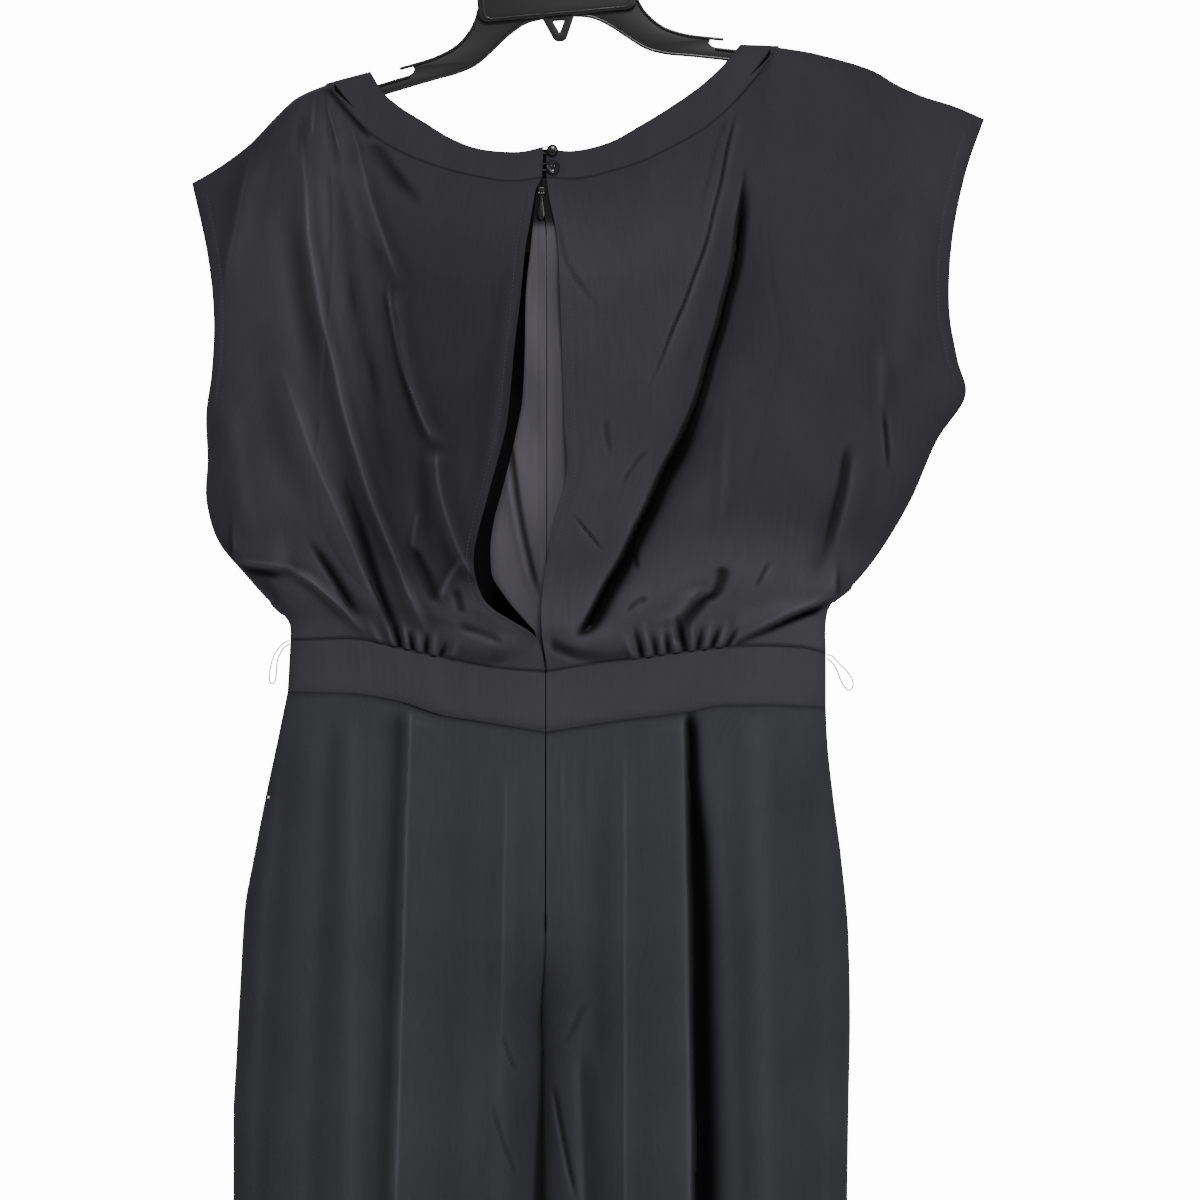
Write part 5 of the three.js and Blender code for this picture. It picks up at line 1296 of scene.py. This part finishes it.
def build_centre_allowance():
    s, t = np.meshgrid(np.linspace(-1, 1, 15), np.linspace(0, 1, 70))
    x, z = ALLOWANCE["half"] * s, mix(*CENTRE_ALLOWANCE_RUN, t)
    flared = WAIST_DEPTH + 0.5 * np.maximum(BAND_LOW - z, 0)
    deep = np.minimum(read_table(TROUSER_DEPTH, "z", "back", z), flared)
    y = -(deep - ALLOWANCE["inset"]) + 0.3 * s * s
    point = np.stack([x, y, z], -1)
    inner = point + np.array([0, ALLOWANCE["wall"], 0])
    # Painted shade all over the allowance, which lies in shade inside the back
    obj = shell_mesh("cloth_centre_allowance", point, inner, np.full_like(s, RECESS_SHADE))
    dress(obj, TROUSER_CREPE, "crepe_trousers")


# Facing behind the ends of the neckband
NECKBAND_TOP = -204.5
NECKBAND_HIGH = 21
FACING = {"top": -205.6, "bottom": -278, "top_half": 9, "low_half": 17, "x": -1, "inset": 2.6, "wall": 0.8}


def band_y(z):
    return -mix(NECK_TOP_DEPTH, NECK_DEPTH, np.clip((NECKBAND_TOP - z) / NECKBAND_HIGH, 0, 1))


def build_facing():
    s, t = np.meshgrid(np.linspace(-1, 1, 21), np.linspace(0, 1, 41))
    z = mix(FACING["top"], FACING["bottom"], t)
    x = mix(FACING["top_half"], FACING["low_half"], t) * s + FACING["x"]
    y = band_y(z) + FACING["inset"] + 0.5 * s * s + 0.2 * np.sin(t * 9 + s * 2)
    outer = np.stack([x, y, z], -1)
    inner = outer + np.array([0, FACING["wall"], 0])
    # Painted shade all over the facing, which lies in shade behind the ends of the neckband
    obj = shell_mesh("cloth_neck_facing", outer, inner, np.full_like(s, FACING_SHADE))
    dress(obj, BODICE_CREPE, "crepe_bodice")


# Pocket bags: two layers sewn round the edge
POCKET = {
    "top": -604, "bottom": -812, "mouth": -735, "width": 118, "top_narrower": 46, "inset": 3.6, "thick": 2.2,
    "wall": 0.6, "groove": 0.12,
}


def pocket_edges(half, z):
    """The two edges of a bag at height z: along the side seam, and inside the leg."""
    sign = half["sign"]

    def seam_x(at):
        return read_table(half["trouser_side"], "z", "x", at) - sign * POCKET["inset"]

    mouth = POCKET["mouth"]
    out_x = float(seam_x(mouth))
    in_x = out_x - sign * POCKET["width"]
    k = np.linspace(0, 1, 200)
    weights = [(1 - k) ** 3, 3 * k * (1 - k) ** 2, 3 * k * k * (1 - k), k**3]
    bend_x = sum(w * v for w, v in zip(weights, (out_x, out_x, in_x, in_x)))
    bend_z = sum(w * v for w, v in zip(weights, (mouth, POCKET["bottom"], POCKET["bottom"] - 18, mouth - 10)))
    low = int(np.argmin(bend_z))
    outer = np.where(z > mouth, seam_x(z), np.interp(-z, -bend_z[:low + 1], bend_x[:low + 1]))
    top_x = float(seam_x(POCKET["top"])) - sign * (POCKET["width"] - POCKET["top_narrower"])
    share = np.clip((POCKET["top"] - z) / (POCKET["top"] - mouth + 10), 0, 1)
    inner = np.where(z > mouth - 10, mix(top_x, in_x, share), np.interp(z, bend_z[low:], bend_x[low:]))
    return outer, inner, float(bend_z[low])


def build_pocket(side):
    half = HALVES[side]
    low = pocket_edges(half, np.array([-700.0]))[2]
    s, t = np.meshgrid(np.linspace(0, 1, 25), 1 - (1 - np.linspace(0, 1, 41)) ** 1.5)
    z = mix(POCKET["top"], low + 0.3, t)
    edge, inside, _ = pocket_edges(half, z)
    x = mix(edge, inside, s)
    rim = np.minimum(np.minimum(s, 1 - s) * np.abs(edge - inside), (z - low) * 0.6)
    full = smooth(rim / 14)
    slack = 0.3 * np.sin(x / 7 + z / 19) * full
    layers = []
    for turn in (-1, 1):
        y = turn * (0.12 + (POCKET["thick"] / 2 - 0.9) * full) + slack
        groove = POCKET["groove"] * ridge(rim - 5, 0.8)
        near = np.stack([x, y, z], -1)
        far = np.stack([x, y + turn * (POCKET["wall"] - groove), z], -1)
        layers.append(shell_mesh(f"pocket_layer_{turn}", far, near))
    obj = join_meshes(f"cloth_pocket_{side}", layers)
    dress(obj, POCKETING, "pocketing", f"pocket_{side}")


def join_meshes(name, parts):
    whole = bmesh.new()
    for part in parts:
        whole.from_mesh(part.data)
    mesh = bpy.data.meshes.new(name)
    whole.to_mesh(mesh)
    whole.free()
    for part in parts:
        bpy.data.objects.remove(part)
    return new_object(name, mesh)


# Hanger, drawn flat in its own frame and tilted as one
HANGER_TILT = math.radians(5.2)
HOOK_Z = -18
BLOCK = {"half": 55.5, "top": -52, "bottom": -94, "deep": 14, "round": 7, "cut": 9}
# The block's raised rim: how far its outer and inner outline stand in, across and up
BLOCK_RIM = ((0.055, 0.07), (0.09, 0.125))
ARM_DEEP = 7
WEB_DEEP = 3
RIB = 2
ARM_TOP = [(53, -76), (56, -84), (61.5, -96), (73, -107.5), (88, -114), (101, -117), (114, -119.5)]
ARM_NOTCH = [(113.6, -121.2), (104.5, -119.9), (103.6, -121.4), (104.4, -123.4), (107.5, -125.4)]
ARM_SLOPE = [(107.5, -125.4), (132, -130.5), (157, -136), (180, -142.5), (203, -149.9)]
ARM_TIP = [(205, -151.4), (205.6, -153.4), (205.2, -155.6)]
ARM_BELOW = [
    (204, -157), (180, -151.5), (157, -145), (125, -137.5), (103, -133), (86.5, -129.8), (75, -127.8),
    (60, -122.8), (48, -114.3), (35, -104), (23, -97.3), (10, -94.9),
]
LOOP_OUTSIDE = [(-12, -93), (-4.5, -110), (-2, -111.5), (2, -111.5), (4.5, -110), (12, -93)]
LOOP_HOLE = [(-4, -97), (4, -97), (0, -105.5)]


def flat_line(points, steps=60):
    rows = np.array([(x, 0, z) for x, z in points], float)
    return [(x, z) for x, y, z in Curve(rows).at(np.linspace(0, 1, steps))]


def rounded(points, radius, steps=7):
    """A closed outline with rounded corners."""
    found = []
    count = len(points)
    for i in range(count):
        before, corner, after = (np.array(points[(i + k) % count], float) for k in (-1, 0, 1))
        into, out = before - corner, after - corner
        reach = min(radius, 0.45 * np.linalg.norm(into), 0.45 * np.linalg.norm(out))
        a = corner + into / np.linalg.norm(into) * reach
        b = corner + out / np.linalg.norm(out) * reach
        for k in np.linspace(0, 1, steps):
            found.append(tuple((1 - k) ** 2 * a + 2 * k * (1 - k) * corner + k * k * b))
    return found


def rib_along(points):
    """The strip of an edge line to the right of its direction."""
    rows = np.array(points)
    way = np.gradient(rows, axis=0)
    way /= np.linalg.norm(way, axis=1, keepdims=True)
    across = np.stack([way[:, 1], -way[:, 0]], -1)
    return [tuple(row) for row in np.concatenate([rows, (rows + across * RIB)[::-1]])]


def moulding(outline, deep, edge, holes=(), out=0.0):
    """A flat outline with rounded edges, as a mesh in the XZ plane; out moves it towards the camera."""
    data = bpy.data.curves.new("outline", "CURVE")
    data.dimensions = "2D"
    data.fill_mode = "BOTH"
    data.extrude = (deep / 2 - edge) * MM
    data.bevel_depth = edge * MM
    data.bevel_resolution = 3
    data.offset = -edge * MM
    for line in (outline, *holes):
        spline = data.splines.new("POLY")
        spline.points.add(len(line) - 1)
        for point, (x, z) in zip(spline.points, line):
            point.co = (x * MM, z * MM, 0, 1)
        spline.use_cyclic_u = True
    curve = new_object("outline", data)
    bpy.context.view_layer.update()
    mesh = bpy.data.meshes.new_from_object(curve.evaluated_get(bpy.context.evaluated_depsgraph_get()))
    bpy.data.objects.remove(curve)
    flat = np.zeros(len(mesh.vertices) * 3)
    mesh.vertices.foreach_get("co", flat)
    x, z, y = flat.reshape(-1, 3).T
    mesh.vertices.foreach_set("co", np.stack([x, -y - out * MM, z], -1).ravel())
    return new_object("moulding", mesh)


def finish_solid(obj, place=lambda points: points):
    """Places a mesh's points, turns its faces outward and smooths it between sharp edges."""
    mesh = obj.data
    flat = np.zeros(len(mesh.vertices) * 3)
    mesh.vertices.foreach_get("co", flat)
    mesh.vertices.foreach_set("co", place(flat.reshape(-1, 3)).ravel())
    smooth_faces(mesh, SOLID_CREASE, weld=True)
    return obj


def tilted(points):
    x, y, z = points.T
    across, up = math.cos(HANGER_TILT), math.sin(HANGER_TILT)
    return np.stack([across * x - up * z, y, up * x + across * z + HOOK_Z * MM], -1)


def mirrored(points):
    return [(-x, z) for x, z in points][::-1]


def build_hanger():
    half, top, bottom = BLOCK["half"], BLOCK["top"], BLOCK["bottom"]
    corners = [
        (-half, bottom), (half, bottom), (half, top - BLOCK["cut"]), (half - BLOCK["cut"], top),
        (-half + BLOCK["cut"], top), (-half, top - BLOCK["cut"]),
    ]
    middle = (top + bottom) / 2
    rim, face = ([(x * (1 - k), mix(z, middle, m) + 0.2) for x, z in corners] for k, m in BLOCK_RIM)
    arm_top, slope, below = flat_line(ARM_TOP), flat_line(ARM_SLOPE), flat_line(ARM_BELOW, 110)
    arm = [*arm_top, *ARM_NOTCH[:-1], *slope, *ARM_TIP, *below, (8, -84)]
    parts = [
        moulding(rounded(corners, BLOCK["round"]), BLOCK["deep"], 1.3),
        moulding(rounded(rim, 6), BLOCK["deep"] + 1, 0.35, [rounded(face, 5)]),
        moulding(rounded(LOOP_OUTSIDE, 2, 4), ARM_DEEP, 0.9, [rounded(LOOP_HOLE, 1, 4)]),
    ]
    ribs = [rib_along(line) for line in (arm_top, slope, below)]
    tip = [(200, -149), (203, -150), *ARM_TIP, (204, -157), (200, -155.8)]
    for turn in (lambda line: line, mirrored):
        parts.append(moulding(turn(arm), WEB_DEEP, 0.5))
        parts.append(moulding(turn(tip), ARM_DEEP, 0.6))
        parts.extend(moulding(turn(rib), ARM_DEEP, 0.7) for rib in ribs)
    obj = finish_solid(join_meshes("hanger_moulding", parts), tilted)
    dress(obj, HANGER_PLASTIC, "hanger_plastic", "hanger_body")


# Fastenings
SLIDER = {
    "x": -3, "z": -236, "y": -28.16, "thick": 1.8, "top_half": 2.2, "low_half": 1.5, "high_half": 3.7,
    "ear": 1.8, "pin": 1, "pin_half": 2.1, "pin_y": -31.711, "pin_z": -236.6,
}
# Places of the buttons' centres, x and z
BUTTONS = {"upper": (4.6, -206.6), "lower": (5, -218.4)}
LOOP_END = -2.2
LOOP_HALF = 2.3
PULL_EYE = table("r y", [(0.86, -0.8), (1.2, -0.9), (1.36, -0.7), (1.36, 0.7), (1.2, 0.9), (0.86, 0.8)])
PULL_SHAPE = table("down half thick", [
    (-2, 0.8, 0.5), (-5, 1.15, 0.55), (-8, 1.6, 0.62), (-11, 2.1, 0.72), (-14, 2.45, 0.8),
    (-16, 2.4, 0.78), (-17.4, 1.9, 0.66), (-18.2, 1.1, 0.45), (-18.5, 0.25, 0.15),
])
BALL = table("r y", [
    (0, 0), (1.05, 0), (1.05, 1.25), (1.9, 1.35), (2.9, 1.75), (3.6, 2.35), (3.95, 3.05), (3.98, 3.6),
    (3.7, 4.3), (3.05, 4.85), (2.1, 5.2), (1.1, 5.35), (0, 5.4),
])
DISC = table("r y", [
    (0, 0), (1.05, 0), (1.05, 1.3), (3.3, 1.5), (4.35, 2), (4.75, 2.8), (4.75, 3.6), (4.5, 4.2), (4.05, 4.45),
    (3.65, 4.35), (3.35, 4), (2.9, 3.85), (1.4, 3.85), (0, 3.9),
])


def grid_solid(name, rings):
    """A closed form from a stack of rings with the same count of points, with its ends filled."""
    rings = np.array(rings) * MM
    round_about = rings.shape[1]
    edit = bmesh.new()
    verts = [[edit.verts.new(point) for point in ring] for ring in rings]
    for low, up in zip(verts, verts[1:]):
        for i in range(round_about):
            j = (i + 1) % round_about
            edit.faces.new((low[i], low[j], up[j], up[i]))
    edit.faces.new(verts[0][::-1])
    edit.faces.new(verts[-1])
    mesh = bpy.data.meshes.new(name)
    edit.to_mesh(mesh)
    edit.free()
    return new_object(name, mesh)


def unit_ring(sides):
    """Cosine and sine of the angles of a ring."""
    angles = np.linspace(0, 2 * math.pi, sides, endpoint=False)
    return [(math.cos(a), math.sin(a)) for a in angles]


def turned(profile, x, y, z, sides=40):
    """A form turned about a line along y, from rows of radius and height towards the camera."""
    rows = zip(np.maximum(profile["r"], 0.02), profile["y"])
    ring = unit_ring(sides)
    return grid_solid("turned", [[(x + r * c, y - high, z + r * s) for c, s in ring] for r, high in rows])


def tube(points, diameter, steps, sides=12):
    line = Curve(points)
    shares = np.linspace(0, 1, steps)
    places, ways = line.at(shares), line.tangent(shares)
    ups = np.cross(ways, np.array([0.31, 0.17, 0.94]))
    ups /= np.linalg.norm(ups, axis=1, keepdims=True)
    outs = np.cross(ways, ups)
    ring = unit_ring(sides)
    rings = [
        [place + diameter / 2 * (c * up + s * out) for c, s in ring]
        for place, up, out in zip(places, ups, outs)
    ]
    return grid_solid("tube", rings)


def slider_ear(x):
    """One of the two ears that hold the slider's pin, seen along x as an oval."""
    far, near = SLIDER["y"] - 1.4, SLIDER["pin_y"] - 0.9
    oval = [(mix(far, near, 0.5 + 0.5 * s), SLIDER["pin_z"] + 1.3 * c) for c, s in unit_ring(20)]
    return grid_solid("ear", [[(x + k, y, z) for y, z in oval] for k in (-0.35, 0.35)])


def build_slider():
    x, z, thick = SLIDER["x"], SLIDER["z"], SLIDER["thick"]
    pin_y, pin_z = SLIDER["pin_y"], SLIDER["pin_z"]
    top, low, high = SLIDER["top_half"], SLIDER["low_half"], SLIDER["high_half"]
    corners = [(x - top, z + high), (x - low, z - high), (x + low, z - high), (x + top, z + high)]
    parts = [
        moulding(rounded(corners, 1.2, 5), thick, 0.45, out=-SLIDER["y"] + thick / 2),
        slider_ear(x - SLIDER["ear"]),
        slider_ear(x + SLIDER["ear"]),
        tube([(x + k * SLIDER["pin_half"], pin_y, pin_z) for k in (-1, 0, 1)], SLIDER["pin"], 5),
    ]
    obj = finish_solid(join_meshes("slider_body", parts))
    dress(obj, ENAMEL, "enamel", "zip_slider")


def build_pull():
    """The teardrop tab, and the eye by which it swings on the slider's pin."""
    x, y, z = SLIDER["x"], SLIDER["pin_y"], SLIDER["pin_z"]
    ring = unit_ring(20)
    blade = [
        [(x + half * c, y + thick * s * (0.8 + 0.2 * abs(s)), z + down) for c, s in ring]
        for down, half, thick in zip(*PULL_SHAPE.values())
    ]
    eye = [[(x + out, y + r * s, z + r * c) for c, s in ring] for r, out in zip(*PULL_EYE.values())]
    obj = finish_solid(join_meshes("pull_tab", [grid_solid("blade", blade), grid_solid("eye", eye)]))
    dress(obj, ENAMEL, "enamel", "zip_pull", body="pull")


def build_button(name):
    bx, bz = BUTTONS[name]
    by = float(band_y(bz)) - SEAM_GAP
    profile = BALL if name == "upper" else DISC
    parts = [turned(profile, bx, by, bz)]
    if name == "lower":
        for x in (bx - 1.05, bx + 1.05):
            route = [(x, by - 3.6, bz - 2.6), (x, by - 4.3, bz), (x, by - 3.6, bz + 2.6)]
            parts.append(tube(route, 1.1, 9))
    obj = finish_solid(join_meshes(f"button_{name}_turned", parts))
    dress(obj, ENAMEL, "enamel", f"button_{name}")


def build_button_loop(name):
    """A thread loop from the left end of the neckband round the button's shank."""
    bx, bz = BUTTONS[name]
    y = float(band_y(bz)) - 0.85
    around = [math.radians(degrees) for degrees in (80, 40, 0, -40, -80)]
    route = [
        (LOOP_END, y + 0.2, bz + 2), (0, y, bz + LOOP_HALF),
        *((bx + LOOP_HALF * math.cos(a), y, bz + LOOP_HALF * math.sin(a)) for a in around),
        (0, y, bz - LOOP_HALF), (LOOP_END, y + 0.2, bz - 2),
    ]
    obj = finish_solid(join_meshes(f"button_thread_{name}", [tube(route, 1, 60)]))
    dress(obj, SEWING_THREAD, "thread", f"button_loop_{name}")


# Sewing
STITCH = {"pitch": 2.8, "long": 1.9, "thick": 0.5, "proud": 0.12}
BAR_TACK = {"s": 0.985, "top": -655.2, "bottom": -660.6, "pitch": 0.5}


def stitch_rows(name, rows, turn, thread=SEWING_THREAD):
    """Rows of machine stitches that follow lines on the cloth."""
    rings_along = ((-0.5, 0.35), (-0.36, 1), (0.36, 1), (0.5, 0.35))
    sides = 6
    ring = unit_ring(sides)
    points, faces = [], []
    for row in rows:
        steps = np.linalg.norm(np.diff(row, axis=0), axis=1)
        along = np.concatenate([[0], np.cumsum(steps)])
        count = max(int(along[-1] / STITCH["pitch"]), 1)
        where = (np.arange(count) + 0.5) * along[-1] / count
        place, ahead, back = (
            np.stack([np.interp(where + k, along, column) for column in row.T], -1) for k in (0, 0.6, -0.6)
        )
        way = (ahead - back) / np.linalg.norm(ahead - back, axis=1, keepdims=True)
        out = np.array([0.0, turn, 0.0])
        flat = np.cross(way, out)
        flat /= np.linalg.norm(flat, axis=1, keepdims=True)
        up = np.cross(flat, way)
        up *= np.sign(up[:, 1:2] * turn)
        for centre, w, f, u in zip(place, way, flat, up):
            start = len(points)
            for share, wide in rings_along:
                middle = centre + w * share * STITCH["long"] + u * STITCH["proud"]
                r = STITCH["thick"] / 2 * wide
                points.extend(middle + r * (sine * u + cosine * f) for cosine, sine in ring)
            for i in range(len(rings_along) - 1):
                for k in range(sides):
                    j = (k + 1) % sides
                    low, high = start + i * sides, start + (i + 1) * sides
                    faces.append((low + k, low + j, high + j, high + k))
            faces.append(tuple(start + k for k in range(sides))[::-1])
            faces.append(tuple(start + 3 * sides + k for k in range(sides)))
    mesh = bpy.data.meshes.new(name)
    mesh.from_pydata([tuple(p * MM) for p in points], [], faces)
    dress(finish_solid(new_object(name, mesh)), thread, "thread")


def bodice_stitches(side, face):
    form = Bodice(HALVES[side], face)
    lines = [(1 - HEM_ARM["width"] / form.width(), np.linspace(0.04, form.arm_share * 0.985, 120))]
    if face == "back":
        lines.append((HEM_SLIT["width"] / form.width(), np.linspace(0.05, 0.93, 160)))
    rows = [form.outside(np.full((len(t), 1), s), t[:, None])[:, 0] for s, t in lines]
    stitch_rows(f"stitches_bodice_{face}_{side}", rows, form.turn)


def leg_stitches(side, face):
    form = Trouser(HALVES[side], face)
    s = np.linspace(0.02, 0.98, 90)[None, :]
    top = ring_seam(form.half, "band_seam", face, s)[1] - SEAM_GAP
    t = (top - HEM_Z - HEM_LEG["width"]) / (top - HEM_Z)
    stitch_rows(f"stitches_hem_{face}_{side}", [form.outside(s, t)[0]], form.turn)


def band_stitches(side, face):
    u = np.linspace(0.012, 0.97, 120)[None, :]
    row = band_surface(HALVES[side], face, u, np.full_like(u, 1 - BAND_STITCH / BAND_HIGH))
    stitch_rows(f"stitches_band_{face}_{side}", [row[0]], TURN[face])


def build_bar_tack():
    """A short satin bar of pale thread over the end of the left pocket mouth."""
    form = Trouser(LEFT, "back")
    s, z = np.full(2, BAR_TACK["s"]), np.array([BAR_TACK["top"], BAR_TACK["bottom"]])
    top = ring_seam(LEFT, "band_seam", "back", s)[1] - SEAM_GAP
    ends = form.outside(s[:, None], ((top - z) / (top - HEM_Z))[:, None])[:, 0]
    across = np.array([-BAR_TACK["pitch"], 0.0, 0.0])
    rows = [mix(ends[0], ends[1], np.linspace(0, 1, 9)[:, None]) + across * k for k in range(3)]
    stitch_rows("bar_tack_left", rows, form.turn, TACK_THREAD)


build_facing()
build_centre_allowance()
build_bar_tack()
build_hanger()
build_slider()
build_pull()
for name in BUTTONS:
    build_button(name)
    build_button_loop(name)
for side in HALVES:
    build_pocket(side)
    build_neck_allowance(side)
    for face in ("back", "front"):
        bodice_stitches(side, face)
        leg_stitches(side, face)
        band_stitches(side, face)

# Solids that keep their own shape
for name, material in {"hanger_hook": HOOK_STEEL, "zip_chain": ENAMEL}.items():
    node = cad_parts[name]
    node.data.materials.clear()
    node.data.materials.append(material)

# Floor, lights and surroundings
bpy.ops.mesh.primitive_circle_add(
    vertices=128, radius=FLOOR_RADIUS, fill_type="NGON", location=(0, 0, FLOOR_Z),
)
floor = bpy.context.object
floor.name = "floor"
floor_material, _, _, floor_shader = new_material("pale_floor")
set_inputs(floor_shader, {"Base Color": (0.86, 0.86, 0.86, 1), "Roughness": 0.9})
floor.data.materials.append(floor_material)


def area_light(name, place, aim, size, power):
    data = bpy.data.lights.new(name, "AREA")
    data.size = size
    data.energy = power
    light = new_object(name, data)
    light.location = place
    way = np.array(aim) - np.array(place)
    flat = math.hypot(way[0], way[1])
    light.rotation_euler = (math.atan2(flat, -way[2]), 0, math.atan2(way[1], way[0]) - math.pi / 2)


area_light("key", (0.3, -2.8, 1.05), (0, 0, -0.55), 0.8, 95)
area_light("fill", (1.9, -2.2, -0.1), (0, 0, -0.7), 1.2, 18)
area_light("rear", (-0.4, 2.4, 0.6), (0, 0, -0.6), 1.4, 60)

# The studio is white to the eye and gives a weaker light, so that folds keep their shade
STUDIO_LIGHT = 0.4
STUDIO_SEEN = 14.0
world = bpy.data.worlds.new("studio")
world.use_nodes = True
sky, sky_links = world.node_tree.nodes, world.node_tree.links
lit, seen = sky["Background"], sky.new("ShaderNodeBackground")
path = sky.new("ShaderNodeLightPath")
choice = sky.new("ShaderNodeMixShader")
sky_links.new(path.outputs["Is Camera Ray"], choice.inputs["Fac"])
for socket, (background, strength) in enumerate(((lit, STUDIO_LIGHT), (seen, STUDIO_SEEN)), 1):
    set_inputs(background, {"Color": (1, 1, 1, 1), "Strength": strength})
    sky_links.new(background.outputs["Background"], choice.inputs[socket])
sky_links.new(choice.outputs["Shader"], sky["World Output"].inputs["Surface"])
bpy.context.scene.world = world
